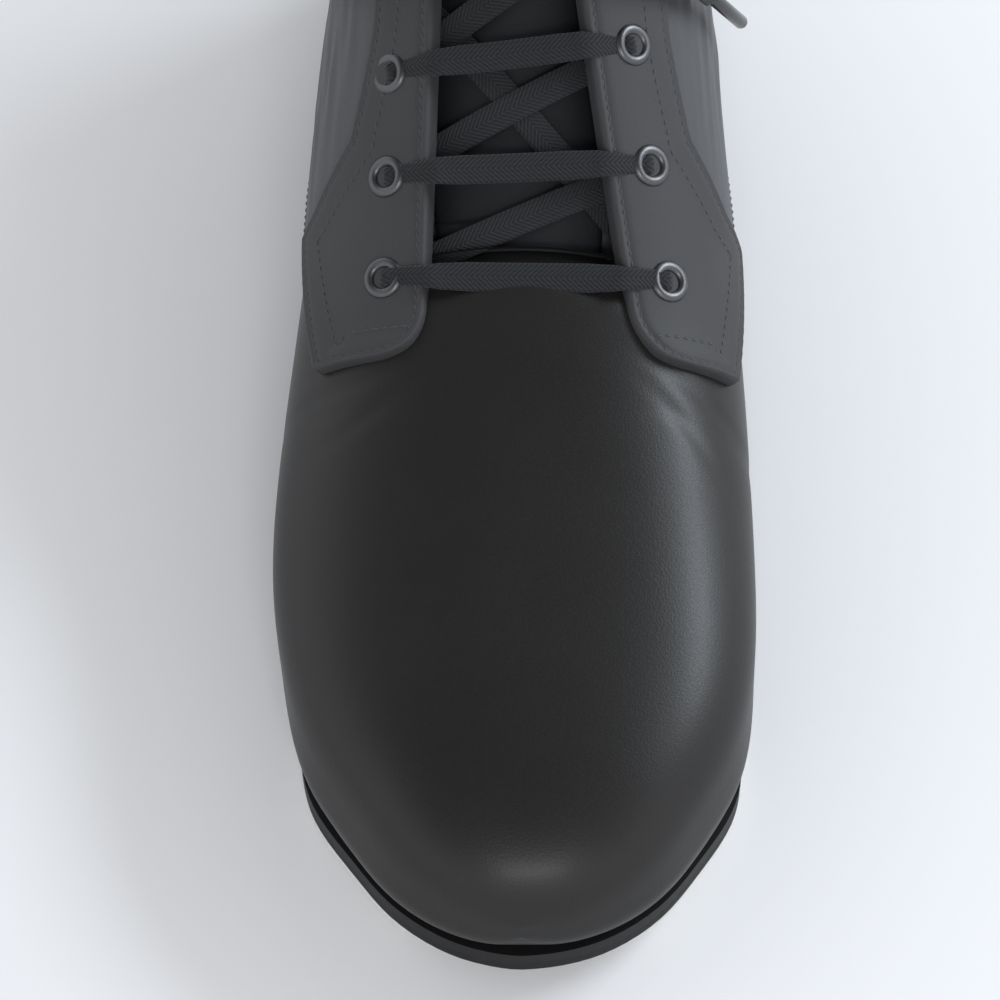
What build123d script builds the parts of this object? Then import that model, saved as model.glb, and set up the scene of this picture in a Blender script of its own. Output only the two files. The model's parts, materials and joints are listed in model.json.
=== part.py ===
"""A laced bowling shoe for the right foot, in the derby pattern, built up in layers on a last.

Millimetres, +Z up, toe towards -Y, the medial (big toe) side towards +X. The origin is on the ground,
in the middle of the shoe's length and width.
"""

from build123d import *
import math
import os

os.makedirs("parts", exist_ok=True)

# ---- driving dimensions -------------------------------------------------------------------------
shoe_length = 298.0  # outsole, toe to heel
ball_width = 106.0  # upper, across the ball of the foot
instep_height = 118.0  # crest of the last where the facings end
collar_back_height = 96.0  # ground to the top line at the heel
collar_side_height = 78.0  # ground to the lowest point of the top line
heel_lift = 19.5  # ground to the seat of the heel
ball_thickness = 6.2  # ground to the bottom of the upper at the ball

upper_leather = 1.6  # vamp, facings and quarters
lining_leather = 1.0
stiffener = 0.6  # toe puff and vamp interlining
tongue_leather = 1.2
tongue_padding = 2.6
tongue_lining_thickness = 0.8
binding_rise = 2.2  # how far the collar binding stands above the layers it closes
backstay_leather = 1.2

insole_board_thickness = 2.0
footbed_thickness = 4.0
midsole_thickness = 2.2
outsole_thickness = 3.0
heel_top_piece_thickness = 6.0
lasting_margin = 13.0  # upper turned in under the insole board
sole_extension = 2.0  # sole edge in front of the toe
shank_length = 96.0
shank_width = 14.0
shank_thickness = 1.4
nail_head_diameter = 3.4
nail_length = 9.0

throat_half_width_low = 22.2
throat_half_width_high = 13.4
throat_corner_radius = 12.0
eyelet_count = 4
eyelet_pitch_medial = 22.6  # along the shoe's length
eyelet_pitch_lateral = 20.8
eyelet_margin_medial = 10.6  # eyelet centre to the edge of the facing
eyelet_margin_lateral = 9.8
eyelet_bore = 4.4
eyelet_wall = 0.4
eyelet_flange_diameter = 9.4
eyelet_flange_height = 1.1
eyelet_clinch_diameter = 8.0
eyelet_clinch_height = 0.5

lace_width = 6.4
lace_thickness = 1.2
lace_gap = 0.3  # between a lace run and the surface it passes over
tongue_gap = 0.55  # between the tongue and the lowest lace run
lace_pass_diameter = 3.8  # the lace gathered up in an eyelet
cord_diameter = 4.6  # the free lace, folded on itself
aglet_diameter = 3.2
aglet_length = 18.5
knot_length = 17.0
knot_depth = 15.0
knot_rise = 11.0

tongue_half_width_low = 20.0
tongue_half_width_high = 31.0
tongue_root_gap = 1.2  # room for the tongue to swing at its seam

# ---- the last -----------------------------------------------------------------------------------
# Stations of the last on a 294 mm upper, with a ball of 106 mm: distance from the toe, lateral and
# medial half widths, height of the bottom, of the widest line and of the crest, exponents of the
# lateral and medial flanks, and how far the station looks along the shoe (-1 at the toe tip, +1 at
# the heel).
LAST = [
    (0.8, 5.9, 7.2, 20.5, 25.0, 29.0, 2.4, 2.4, -0.97),
    (3.0, 13.0, 15.0, 18.2, 25.0, 33.5, 2.4, 2.4, -0.91),
    (7.0, 20.1, 22.4, 16.0, 25.0, 37.5, 2.4, 2.4, -0.81),
    (13.0, 27.1, 29.4, 14.0, 25.0, 41.0, 2.4, 2.4, -0.67),
    (23.0, 34.7, 36.8, 11.6, 25.0, 44.5, 2.4, 2.4, -0.52),
    (38.0, 43.9, 45.0, 9.2, 25.5, 47.3, 2.35, 2.35, -0.30),
    (58.0, 51.1, 50.3, 7.2, 26.5, 49.8, 2.3, 2.3, -0.13),
    (82.0, 54.6, 51.6, 6.2, 27.5, 53.2, 2.2, 2.25, 0.0),
    (108.0, 54.2, 51.2, 6.4, 29.0, 59.5, 2.1, 2.15, 0.0),
    (136.0, 51.8, 50.2, 8.8, 31.0, 69.5, 2.05, 2.1, 0.0),
    (164.0, 49.0, 48.0, 13.2, 34.0, 85.0, 2.0, 2.05, 0.0),
    (192.0, 46.4, 45.4, 17.2, 38.0, 102.5, 1.95, 2.0, 0.0),
    (220.0, 43.4, 42.6, 19.2, 42.0, 120.0, 1.95, 2.0, 0.0),
    (246.0, 40.0, 38.6, 19.5, 44.0, 131.0, 1.95, 2.0, 0.10),
    (268.0, 35.6, 34.4, 19.5, 44.0, 136.0, 2.0, 2.0, 0.35),
    (283.0, 27.5, 26.8, 19.5, 44.0, 137.0, 2.1, 2.1, 0.68),
    (290.0, 18.5, 18.2, 19.5, 44.0, 137.0, 2.1, 2.1, 0.88),
    (293.4, 8.5, 8.5, 19.5, 44.0, 137.0, 2.1, 2.1, 0.97),
]
LAST_LENGTH = 294.0
LAST_BALL = 106.0
LAST_CREST = 118.0
LAST_LIFT = 19.5
LAST_BALL_THICKNESS = 6.2
SIDE_POINTS = 4  # section points between the widest line and the crest, or the bottom
BOTTOM_EXPONENT = 5.5  # how square the feather edge is

upper_length = shoe_length - 2 * sole_extension
toe_y = -upper_length / 2


def station(distance):
    """Y of a distance from the toe, measured on the reference last."""
    return toe_y + distance * upper_length / LAST_LENGTH


def height(level):
    """Z of a level on the upper, measured on the reference last."""
    share = (level - LAST_LIFT) / (LAST_CREST - LAST_LIFT)
    return heel_lift + share * (instep_height - heel_lift)


def bottom_height(level):
    """Z of a level on the bottom line of the reference last."""
    share = (level - LAST_BALL_THICKNESS) / (LAST_LIFT - LAST_BALL_THICKNESS)
    return ball_thickness + share * (heel_lift - ball_thickness)


def superellipse(right, left, rise, right_power, left_power):
    """Points of a half superellipse from its right end over to its left end."""
    points = []
    for k in range(2 * SIDE_POINTS + 1):
        turn = math.pi * k / (2 * SIDE_POINTS)
        power = right_power if k <= SIDE_POINTS else left_power
        x = 0.0 if k == SIDE_POINTS else abs(math.cos(turn)) ** (2 / power)
        z = 0.0 if k in (0, 2 * SIDE_POINTS) else math.sin(turn) ** (2 / power)
        points.append((x * right if k < SIDE_POINTS else -x * left, z * rise))
    return points


def section_sizes(row, grow):
    """Half widths, level of the widest line, rise to the crest and drop to the bottom of a section."""
    _, lateral, medial, bottom, widest, crest, _, _, look = row
    swell = grow * math.sqrt(1 - look * look)
    level = max(height(widest), bottom_height(bottom) + 4)
    rise = max(height(crest), level + 3) - level + swell
    drop = level - bottom_height(bottom) + swell
    widen = ball_width / LAST_BALL
    return lateral * widen + swell, medial * widen + swell, level, rise, drop


def last_solid(grow):
    """The whole last as one closed body, grown outward by grow from the outside of the vamp."""
    with BuildPart() as last:
        for row in LAST:
            lateral, medial, level, rise, drop = section_sizes(row, grow)
            plane = Plane(
                origin=(0, station(row[0]) + grow * row[8], level), x_dir=(1, 0, 0), z_dir=(0, -1, 0)
            )
            with BuildSketch(plane):
                with BuildLine():
                    Spline(superellipse(medial, lateral, rise, row[7], row[6]))
                    Spline(superellipse(medial, lateral, -drop, BOTTOM_EXPONENT, BOTTOM_EXPONENT))
                make_face()
        loft()
    return last.part


# Depths of the layers, measured outward from the outside of the vamp.
quarter_face = upper_leather
vamp_back = -upper_leather
lining_face = vamp_back - stiffener
lining_back = lining_face - lining_leather
cross_lace_middle = lining_back - eyelet_clinch_height - lace_gap - lace_thickness / 2
long_lace_middle = cross_lace_middle - lace_thickness - lace_gap / 2
tongue_face = long_lace_middle - lace_thickness / 2 - tongue_gap
tongue_room_face = tongue_face + 0.65 * tongue_gap
tongue_back = tongue_face - tongue_leather
tongue_foam_back = tongue_back - tongue_padding
tongue_lining_back = tongue_foam_back - tongue_lining_thickness

quarter_last = last_solid(quarter_face)
vamp_last = last_solid(0.0)
vamp_back_last = last_solid(vamp_back)
lining_face_last = last_solid(lining_face)
foot_last = last_solid(lining_back)
backstay_last = last_solid(quarter_face + backstay_leather)
cross_lace_last = last_solid(cross_lace_middle)
long_lace_last = last_solid(long_lace_middle)
tongue_face_last = last_solid(tongue_face)
tongue_room_last = last_solid(tongue_room_face)
tongue_back_last = last_solid(tongue_back)
tongue_foam_last = last_solid(tongue_foam_back)
tongue_lining_last = last_solid(tongue_lining_back)

# ---- patterns -----------------------------------------------------------------------------------
# Side patterns are outlines in (distance from the toe, level) on the reference last.
FAR_LOW = -40.0
FAR_HIGH = 260.0
TOE_END = -30.0
HEEL_END = 340.0
across = ball_width  # half the width of every cutting prism

VAMP_LINE = [(134.0, FAR_HIGH), (134.0, 58.0), (146.0, 46.0), (238.0, 31.0), (254.0, FAR_LOW)]
PUFF_LINE = [(52.0, FAR_HIGH), (66.0, FAR_LOW)]
FACING_FRONT = 119.5
FACING_SIDE = [(123.0, 45.0), (160.0, 44.5)]
SEAM = [(160.0, 44.5), (162.5, 56.0), (171.5, 71.0), (190.0, 84.0), (210.0, 95.5), (226.0, 104.0)]
QUARTER_LOWER = [(160.0, 44.5), (200.0, 37.0), (236.0, 22.0), (246.0, FAR_LOW)]
TOP_LINE = [(219.0, 106.0), (231.0, 89.0), (250.0, 78.0), (272.0, 82.0), (294.0, 96.0), (320.0, 100.0)]
FACING_TOP = (204.0, 170.0)
COUNTER_LINE = [(246.0, FAR_LOW), (243.0, 44.0), (262.0, 62.0), (HEEL_END, 66.0)]
FOAM_LINE = [(205.0, 80.0), (236.0, 64.0), (262.0, 62.0), (HEEL_END, 66.0)]


def side_point(point):
    """A pattern point as (Y, Z); levels of the top line follow the collar heights."""
    return station(point[0]), height(point[1])


def top_line_point(point):
    """A point of the top line, tied to the collar's heights at the side and at the back."""
    low, high = 78.0, 96.0
    share = (point[1] - low) / (high - low)
    return station(point[0]), collar_side_height + share * (collar_back_height - collar_side_height)


def side_prism(outline):
    """A prism across the whole shoe from a closed side pattern."""
    with BuildPart() as prism:
        with BuildSketch(Plane.YZ):
            with BuildLine():
                Polyline([side_point(p) for p in outline], close=True)
            make_face()
        extrude(amount=across, both=True)
    return prism.part


def lifted(curve, rise):
    """A curve's points moved by rise, square to the curve and upward."""
    moved = []
    for k, (y, z) in enumerate(curve):
        before, after = curve[max(k - 1, 0)], curve[min(k + 1, len(curve) - 1)]
        along = Vector(after[0] - before[0], after[1] - before[1]).normalized()
        moved.append((y - along.Y * rise, z + along.X * rise))
    return moved


def below_top_line(rise=0.0):
    """Everything under the top line, lifted by rise."""
    with BuildPart() as prism:
        with BuildSketch(Plane.YZ):
            with BuildLine():
                curve = lifted([top_line_point(p) for p in TOP_LINE], rise)
                Spline(curve)
                Polyline(
                    curve[-1],
                    (station(HEEL_END), height(FAR_LOW)),
                    (station(TOE_END), height(FAR_LOW)),
                    (station(TOE_END), height(FAR_HIGH)),
                    (station(FACING_TOP[0]), height(FAR_HIGH)),
                    side_point(FACING_TOP),
                    curve[0],
                )
            make_face()
        extrude(amount=across, both=True)
    return prism.part


def smooth_prism(start, curve, end):
    """A prism from a side pattern that has one smooth side between straight ones."""
    with BuildPart() as prism:
        with BuildSketch(Plane.YZ):
            with BuildLine():
                Spline([side_point(p) for p in curve])
                Polyline([side_point(p) for p in [curve[-1], *end, *start, curve[0]]])
            make_face()
        extrude(amount=across, both=True)
    return prism.part


vamp_prism = side_prism([(TOE_END, FAR_HIGH), *VAMP_LINE, (TOE_END, FAR_LOW)])
puff_prism = side_prism([(TOE_END, FAR_HIGH), *PUFF_LINE, (TOE_END, FAR_LOW)])
facing_prism = smooth_prism(
    [(FACING_FRONT, FAR_HIGH), (FACING_FRONT, 56.0), FACING_SIDE[0]], SEAM, [(226.0, FAR_HIGH)]
)
quarter_prism = side_prism([*QUARTER_LOWER, (HEEL_END, FAR_LOW), (HEEL_END, FAR_HIGH), (150.0, FAR_HIGH)])
counter_prism = side_prism([*COUNTER_LINE, (HEEL_END, FAR_LOW)])
foam_prism = side_prism([*FOAM_LINE, (HEEL_END, FAR_HIGH), (205.0, FAR_HIGH)])
under_top_line = below_top_line()


# ---- throat -------------------------------------------------------------------------------------
throat_low_middle = 1.5
throat_high_middle = -4.8
THROAT_LOW = 128.0
THROAT_HIGH = 214.0
THROAT_CORNERS = [(-1, FACING_FRONT), (-1, 240.0), (1, 240.0), (1, FACING_FRONT)]


def throat_edge(distance, side):
    """X of the facing's edge at a distance from the toe; side is +1 medial and -1 lateral."""
    share = (distance - THROAT_LOW) / (THROAT_HIGH - THROAT_LOW)
    middle = throat_low_middle + share * (throat_high_middle - throat_low_middle)
    half = throat_half_width_low + share * (throat_half_width_high - throat_half_width_low)
    return middle + side * half


def facing_plan(side):
    """The plan of one facing: everything outside its throat edge, with the front corner rounded."""
    far = side * across
    end = 240.0
    with BuildPart() as prism:
        with BuildSketch(Plane.XY):
            with BuildLine():
                corner = (throat_edge(FACING_FRONT, side), station(FACING_FRONT))
                Polyline(
                    corner,
                    (throat_edge(end, side), station(end)),
                    (far, station(end)),
                    (far, station(FACING_FRONT)),
                    close=True,
                )
            make_face()
            at_corner = [v for v in vertices() if (Vector(v) - Vector(*corner)).length < 0.01]
            fillet(at_corner, throat_corner_radius)
        extrude(amount=FAR_HIGH)
    return prism.part


with BuildPart() as throat_gap:
    with BuildSketch(Plane.XY.offset(heel_lift + 30)):
        with BuildLine():
            corners = [(throat_edge(d, side), station(d)) for side, d in THROAT_CORNERS]
            Polyline(corners, close=True)
        make_face()
    extrude(amount=FAR_HIGH)
throat_prism = throat_gap.part


def side_of(side):
    """Everything on one side of the shoe's back seam."""
    with BuildPart() as half:
        with Locations((side * across, 0, 0)):
            Box(2 * across, 2 * shoe_length, 2 * FAR_HIGH)
    return half.part


facing_plans = {side: facing_plan(side) for side in (1, -1)}
halves = {side: side_of(side) for side in (1, -1)}
SIDE_NAMES = {1: "medial", -1: "lateral"}

# ---- bottom -------------------------------------------------------------------------------------
# The line of the insole's underside: distance from the toe and height on the reference last.
SEAT = [
    (-12.0, 15.0), (4.0, 13.4), (13.0, 12.4), (23.0, 11.2), (38.0, 9.2), (58.0, 7.2), (80.0, 6.2),
    (100.0, 6.2), (118.0, 7.0), (136.0, 8.8), (164.0, 13.2), (192.0, 17.2), (220.0, 19.2), (246.0, 19.5),
    (320.0, 19.5),
]
sole_inset = 2.5  # the sole's edge inside the upper's widest line, behind the toe
rand_rise = 1.6  # how far the midsole comes up round the upper
heel_breast = 212.0


def seat_slab(low, high):
    """A slab across the shoe between two heights above the seat line."""
    with BuildPart() as slab:
        with BuildSketch(Plane.YZ):
            with BuildLine():
                under = [(station(d), bottom_height(z) + low) for d, z in SEAT]
                over = [(station(d), bottom_height(z) + high) for d, z in SEAT]
                Spline(under)
                Spline(over)
                Line(under[0], over[0])
                Line(under[-1], over[-1])
            make_face()
        extrude(amount=across, both=True)
    return slab.part


def edge_growth(look):
    """How far the sole's edge stands outside the upper at a station."""
    if look >= 0:
        return -sole_inset
    share = min(1.0, (look / 0.3) ** 2)
    return -sole_inset + share * (sole_extension + sole_inset)


def outline_prism(rows, grow_of, low, high, ends):
    """A vertical prism from the last's plan outline, with each station grown by grow_of(look)."""
    widen = ball_width / LAST_BALL
    lateral_side, medial_side = [], []
    for row in rows:
        grow = grow_of(row[8])
        swell = grow * math.sqrt(1 - row[8] ** 2)
        y = station(row[0]) + grow * row[8]
        lateral_side.append((-row[1] * widen - swell, y))
        medial_side.append((row[2] * widen + swell, y))
    toe_point = ((lateral_side[0][0] + medial_side[0][0]) / 2, lateral_side[0][1] - ends)
    heel_point = ((lateral_side[-1][0] + medial_side[-1][0]) / 2, lateral_side[-1][1] + ends)
    with BuildPart() as prism:
        with BuildSketch(Plane.XY.offset(low)):
            with BuildLine():
                Spline([toe_point, *medial_side, heel_point, *lateral_side[::-1]], periodic=True)
            make_face()
        extrude(amount=high - low)
    return prism.part


sole_plan = outline_prism(LAST, edge_growth, 0.0, heel_lift + 20, 0.8)
feather_plan = outline_prism(LAST[4:15], lambda look: -lasting_margin, 0.0, heel_lift + 20, 5.0)
with BuildPart() as feather_opening:
    add(feather_plan)
    add(seat_slab(-10.0, 8.0), mode=Mode.INTERSECT)


def heel_seat(start):
    """Everything behind a distance from the toe."""
    return side_prism([(start, FAR_LOW), (start, FAR_HIGH), (HEEL_END, FAR_HIGH), (HEEL_END, FAR_LOW)])


def shell(outer, inner):
    """The whole layer between two lasts."""
    with BuildPart() as skin:
        add(outer)
        add(inner, mode=Mode.SUBTRACT)
    return skin.part


quarter_shell = shell(quarter_last, vamp_last)
vamp_shell = shell(vamp_last, vamp_back_last)
stiffener_shell = shell(vamp_back_last, lining_face_last)
padding_shell = shell(vamp_last, lining_face_last)
lining_shell = shell(lining_face_last, foot_last)


def layer(skin, keep=(), drop=()):
    """A piece of one layer, kept inside some cutters and outside others."""
    with BuildPart() as piece:
        add(skin)
        for cutter in keep:
            add(cutter, mode=Mode.INTERSECT)
        for cutter in drop:
            add(cutter, mode=Mode.SUBTRACT)
    return piece.part


pieces = {}


def finish_piece(name, part):
    """Keep a finished piece under its name."""
    pieces[name] = part


# ---- bottom pieces ------------------------------------------------------------------------------
with BuildPart() as ground:
    with Locations((0, 0, FAR_HIGH / 2)):
        Box(4 * across, 2 * shoe_length, FAR_HIGH)

outsole_top = -midsole_thickness
outsole_bottom = outsole_top - outsole_thickness
pad_bottom = -ball_thickness - 0.25  # pressed flat on the ground under the ball
heel_block_top = heel_lift + outsole_bottom
heel_prism = heel_seat(heel_breast)

with BuildPart() as shank:
    add(seat_slab(0.8, 0.8 + shank_thickness))
    with Locations((-1.0, station(198.0), heel_lift)):
        Box(shank_width, shank_length, 4 * heel_lift, mode=Mode.INTERSECT)
    fillet(edges().filter_by(Axis.Z), shank_width * 0.4)
finish_piece("shank", shank.part)

with BuildPart() as bottom_filler:
    add(vamp_last)
    add(foot_last, mode=Mode.SUBTRACT)
    add(feather_opening.part, mode=Mode.INTERSECT)
    add(shank.part, mode=Mode.SUBTRACT)
finish_piece("bottom_filler", bottom_filler.part)

board_base = -lining_back
with BuildPart() as insole_board:
    add(foot_last)
    add(seat_slab(-10.0, board_base + insole_board_thickness), mode=Mode.INTERSECT)
finish_piece("insole_board", insole_board.part)

with BuildPart() as footbed:
    add(foot_last)
    footbed_base = board_base + insole_board_thickness
    add(seat_slab(footbed_base, footbed_base + footbed_thickness), mode=Mode.INTERSECT)
finish_piece("footbed", footbed.part)

# ---- upper --------------------------------------------------------------------------------------
opening = feather_opening.part
finish_piece("vamp", layer(vamp_shell, [vamp_prism], [opening]))
finish_piece("toe_puff", layer(stiffener_shell, [puff_prism], [opening]))
finish_piece(
    "vamp_interlining", layer(stiffener_shell, [vamp_prism], [puff_prism, opening])
)
finish_piece("vamp_lining", layer(lining_shell, [vamp_prism], [opening]))
finish_piece("heel_counter", layer(padding_shell, [counter_prism], [vamp_prism, opening]))

# ---- eyelets ------------------------------------------------------------------------------------
def facing_surface(x, y):
    """Point and outward direction of the facing's face above a plan position."""
    hits = quarter_last.find_intersection_points(Axis((x, y, FAR_HIGH), (0, 0, -1)))
    point, normal = max(hits, key=lambda hit: hit[0].Z)
    return point, normal if normal.Z > 0 else -normal


FIRST_EYELET = 138.2
eyelet_places = {}
eyelet_margins = {1: eyelet_margin_medial, -1: eyelet_margin_lateral}
eyelet_pitches = {1: eyelet_pitch_medial, -1: eyelet_pitch_lateral}
for side in (1, -1):
    for number in range(eyelet_count):
        along = FIRST_EYELET + number * eyelet_pitches[side]
        x = throat_edge(along, side) + side * eyelet_margins[side]
        eyelet_places[side, number] = facing_surface(x, station(along))

eyelet_depth = quarter_face - lining_back  # through facing, backing and lining
barrel_radius = eyelet_bore / 2 + eyelet_wall
flange_sink = 0.4
clinch_sink = 0.2


def eyelet_body(point, normal, bore):
    """One eyelet set along the facing's normal, solid when bore is 0."""
    with BuildPart(Plane(origin=point, z_dir=normal)) as eyelet:
        with Locations((0, 0, -flange_sink)):
            Cylinder(
                eyelet_flange_diameter / 2,
                eyelet_flange_height,
                align=(Align.CENTER, Align.CENTER, Align.MIN),
            )
        with Locations((0, 0, -eyelet_depth - eyelet_clinch_height)):
            Cylinder(
                barrel_radius,
                eyelet_depth + eyelet_clinch_height,
                align=(Align.CENTER, Align.CENTER, Align.MIN),
            )
            Cylinder(
                eyelet_clinch_diameter / 2,
                eyelet_clinch_height + clinch_sink,
                align=(Align.CENTER, Align.CENTER, Align.MIN),
            )
        if bore:
            Cylinder(bore / 2, 4 * eyelet_depth, mode=Mode.SUBTRACT)
            rims = edges().filter_by(GeomType.CIRCLE).group_by(SortBy.RADIUS)[-1]
            fillet(rims, eyelet_flange_height * 0.4)
    return eyelet.part


slugs = {place: eyelet_body(*spot, 0.0) for place, spot in eyelet_places.items()}
side_slugs = {side: [slugs[side, n] for n in range(eyelet_count)] for side in (1, -1)}
foam_holes = [facing_prism, counter_prism, throat_prism, *slugs.values()]
finish_piece("collar_foam", layer(padding_shell, [foam_prism, under_top_line], foam_holes))
for side in (1, -1):
    with BuildPart() as eyelets:
        for number in range(eyelet_count):
            add(eyelet_body(*eyelet_places[side, number], eyelet_bore))
    finish_piece(f"eyelets_{SIDE_NAMES[side]}", eyelets.part)

# ---- quarters and facings -----------------------------------------------------------------------
rear_lining = layer(lining_shell, [under_top_line], [vamp_prism, throat_prism, opening])
for side in (1, -1):
    name = SIDE_NAMES[side]
    plan, half, holes = facing_plans[side], halves[side], side_slugs[side]
    facing = layer(quarter_shell, [facing_prism, plan, under_top_line], holes)
    finish_piece(f"facing_{name}", facing)
    backing = layer(
        padding_shell, [facing_prism, plan, under_top_line], [vamp_prism, *holes]
    )
    finish_piece(f"facing_backing_{name}", backing)
    quarter = layer(
        quarter_shell, [quarter_prism, under_top_line, half], [facing_prism, opening, *holes]
    )
    finish_piece(f"quarter_{name}", quarter)
    padding = layer(
        padding_shell,
        [quarter_prism, under_top_line, half],
        [vamp_prism, counter_prism, foam_prism, facing_prism, opening, *holes],
    )
    finish_piece(f"quarter_padding_{name}", padding)
    finish_piece(f"quarter_lining_{name}", layer(rear_lining, [half], holes))

with BuildPart() as collar_binding:
    add(quarter_last)
    add(foot_last, mode=Mode.SUBTRACT)
    add(below_top_line(binding_rise), mode=Mode.INTERSECT)
    add(under_top_line, mode=Mode.SUBTRACT)
    add(heel_seat(217.0), mode=Mode.INTERSECT)
finish_piece("collar_binding", collar_binding.part)

backstay_half_width = 9.0
with BuildPart() as backstay:
    add(backstay_last)
    add(quarter_last, mode=Mode.SUBTRACT)
    with Locations((0, station(LAST_LENGTH), heel_lift + 1.5)):
        Box(
            2 * backstay_half_width,
            60.0,
            collar_back_height - heel_lift - 6.0,
            align=(Align.CENTER, Align.CENTER, Align.MIN),
            mode=Mode.INTERSECT,
        )
finish_piece("backstay", backstay.part)

# ---- sole ---------------------------------------------------------------------------------------
with BuildPart() as midsole:
    add(sole_plan)
    add(seat_slab(outsole_top, rand_rise), mode=Mode.INTERSECT)
    add(vamp_last, mode=Mode.SUBTRACT)
    for side in (1, -1):
        add(pieces[f"quarter_{SIDE_NAMES[side]}"], mode=Mode.SUBTRACT)
finish_piece("midsole", midsole.part)

with BuildPart() as outsole:
    add(sole_plan)
    add(seat_slab(outsole_bottom, outsole_top), mode=Mode.INTERSECT)
finish_piece("outsole", outsole.part)

PAD_OUTLINE = [(8.0, FAR_LOW), (8.0, FAR_HIGH), (140.0, FAR_HIGH), (126.0, FAR_LOW)]
with BuildPart() as slide_pad:
    add(sole_plan)
    add(seat_slab(pad_bottom, outsole_bottom), mode=Mode.INTERSECT)
    add(side_prism(PAD_OUTLINE), mode=Mode.INTERSECT)
    add(ground.part, mode=Mode.INTERSECT)
finish_piece("slide_pad", slide_pad.part)

nail_places = [(0, 262.0), (-16, 232.0), (16, 232.0), (-20, 250.0), (20, 250.0), (0, 280.0)]
with BuildPart() as heel_nails:
    for x, along in nail_places:
        with Locations((x * ball_width / LAST_BALL, station(along), 0.6)):
            Cylinder(nail_head_diameter / 2, 1.0, align=(Align.CENTER, Align.CENTER, Align.MIN))
            Cylinder(nail_head_diameter / 4, nail_length, align=(Align.CENTER, Align.CENTER, Align.MIN))
finish_piece("heel_nails", heel_nails.part)

for name, low, high in (
    ("heel_top_piece", 0.0, heel_top_piece_thickness),
    ("heel_block", heel_top_piece_thickness, heel_block_top),
):
    with BuildPart() as lift:
        add(sole_plan)
        add(heel_prism, mode=Mode.INTERSECT)
        if name == "heel_block":
            add(seat_slab(-4 * heel_lift, outsole_bottom), mode=Mode.INTERSECT)
        with Locations((0, 0, low)):
            Box(
                4 * across,
                2 * shoe_length,
                (high - low) if name == "heel_top_piece" else 4 * heel_lift,
                align=(Align.CENTER, Align.CENTER, Align.MIN),
                mode=Mode.INTERSECT,
            )
        add(heel_nails.part, mode=Mode.SUBTRACT)
        if name == "heel_top_piece":
            for x, along in nail_places:
                with Locations((x * ball_width / LAST_BALL, station(along), 0)):
                    Cylinder(nail_head_diameter / 2, 1.2, mode=Mode.SUBTRACT)
    finish_piece(name, lift.part)

# ---- tongue -------------------------------------------------------------------------------------
TONGUE_ROOT = 137.0
TONGUE_TOP = 229.0
tongue_middle = {TONGUE_ROOT: 0.6, TONGUE_TOP: -4.6}


def tongue_prism(start, trim):
    """The tongue's plan, wider towards its top, from a distance from the toe; trim narrows it."""
    low, high = tongue_half_width_low - trim, tongue_half_width_high - trim
    with BuildPart() as prism:
        with BuildSketch(Plane.XY):
            with BuildLine():
                Polyline(
                    (tongue_middle[TONGUE_ROOT] - low, station(start)),
                    (tongue_middle[TONGUE_ROOT] + low, station(start)),
                    (tongue_middle[TONGUE_TOP] + high, station(TONGUE_TOP - 26.0)),
                    (tongue_middle[TONGUE_TOP] + high, station(TONGUE_TOP) - trim),
                    (tongue_middle[TONGUE_TOP] - high, station(TONGUE_TOP) - trim),
                    (tongue_middle[TONGUE_TOP] - high, station(TONGUE_TOP - 26.0)),
                    close=True,
                )
            make_face()
            top_corners = vertices().group_by(Axis.Y)[-1]
            fillet(top_corners, 12.0)
        extrude(amount=FAR_HIGH)
        above = side_prism([(0, 50.0), (0, FAR_HIGH), (HEEL_END, FAR_HIGH), (HEEL_END, 50.0)])
        add(above, mode=Mode.INTERSECT)
    return prism.part


tongue_skins = (
    ("tongue", tongue_face_last, tongue_back_last, 0.0, 0.0),
    ("tongue_foam", tongue_back_last, tongue_foam_last, 5.0, 2.0),
    ("tongue_lining", tongue_foam_last, tongue_lining_last, 4.0, 0.5),
)
for name, outer, inner, setback, trim in tongue_skins:
    plan = tongue_prism(TONGUE_ROOT + setback, trim)
    finish_piece(name, layer(shell(outer, inner), [plan]))
root_back = TONGUE_ROOT - 14.0
with BuildPart() as tongue_root:
    add(foot_last)
    add(tongue_back_last, mode=Mode.SUBTRACT)
    with Locations((tongue_middle[TONGUE_ROOT], (station(root_back) + station(TONGUE_ROOT)) / 2, 0)):
        Box(
            2 * tongue_half_width_low,
            station(TONGUE_ROOT) - station(root_back) - 2 * tongue_root_gap,
            FAR_HIGH,
            align=(Align.CENTER, Align.CENTER, Align.MIN),
            mode=Mode.INTERSECT,
        )
    above = side_prism([(0, 45.0), (0, FAR_HIGH), (HEEL_END, FAR_HIGH), (HEEL_END, 45.0)])
    add(above, mode=Mode.INTERSECT)
finish_piece("tongue_root", tongue_root.part)
root_spot = foot_last.find_intersection_points(Axis((0, station(TONGUE_ROOT), FAR_HIGH), (0, 0, -1)))
root_top = max(point.Z for point, _ in root_spot)

# ---- lace ---------------------------------------------------------------------------------------
def highest_hit(last, point, up):
    """Where a line through a point, along up, leaves a last."""
    hits = last.find_intersection_points(Axis(point, up))
    return max((hit for hit, _ in hits), key=lambda hit: (hit - point).dot(up))


def middle_of(a, b):
    """The point halfway between two points."""
    return a + (b - a) * 0.5


eyelet_points = {place: spot[0] for place, spot in eyelet_places.items()}
last_pair = eyelet_count - 1
low_middle = middle_of(eyelet_points[-1, 0], eyelet_points[1, 0])
high_middle = middle_of(eyelet_points[-1, last_pair], eyelet_points[1, last_pair])
climb = Vector(0, high_middle.Y - low_middle.Y, high_middle.Z - low_middle.Z).normalized()
instep_up = Vector(0, -climb.Z, climb.Y)


def extended(inner, outer, reach):
    """A point past outer, in line with inner."""
    step = math.hypot(outer[0] - inner[0], outer[1] - inner[1])
    return tuple(o + (o - i) / step * reach for i, o in zip(inner, outer))


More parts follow.
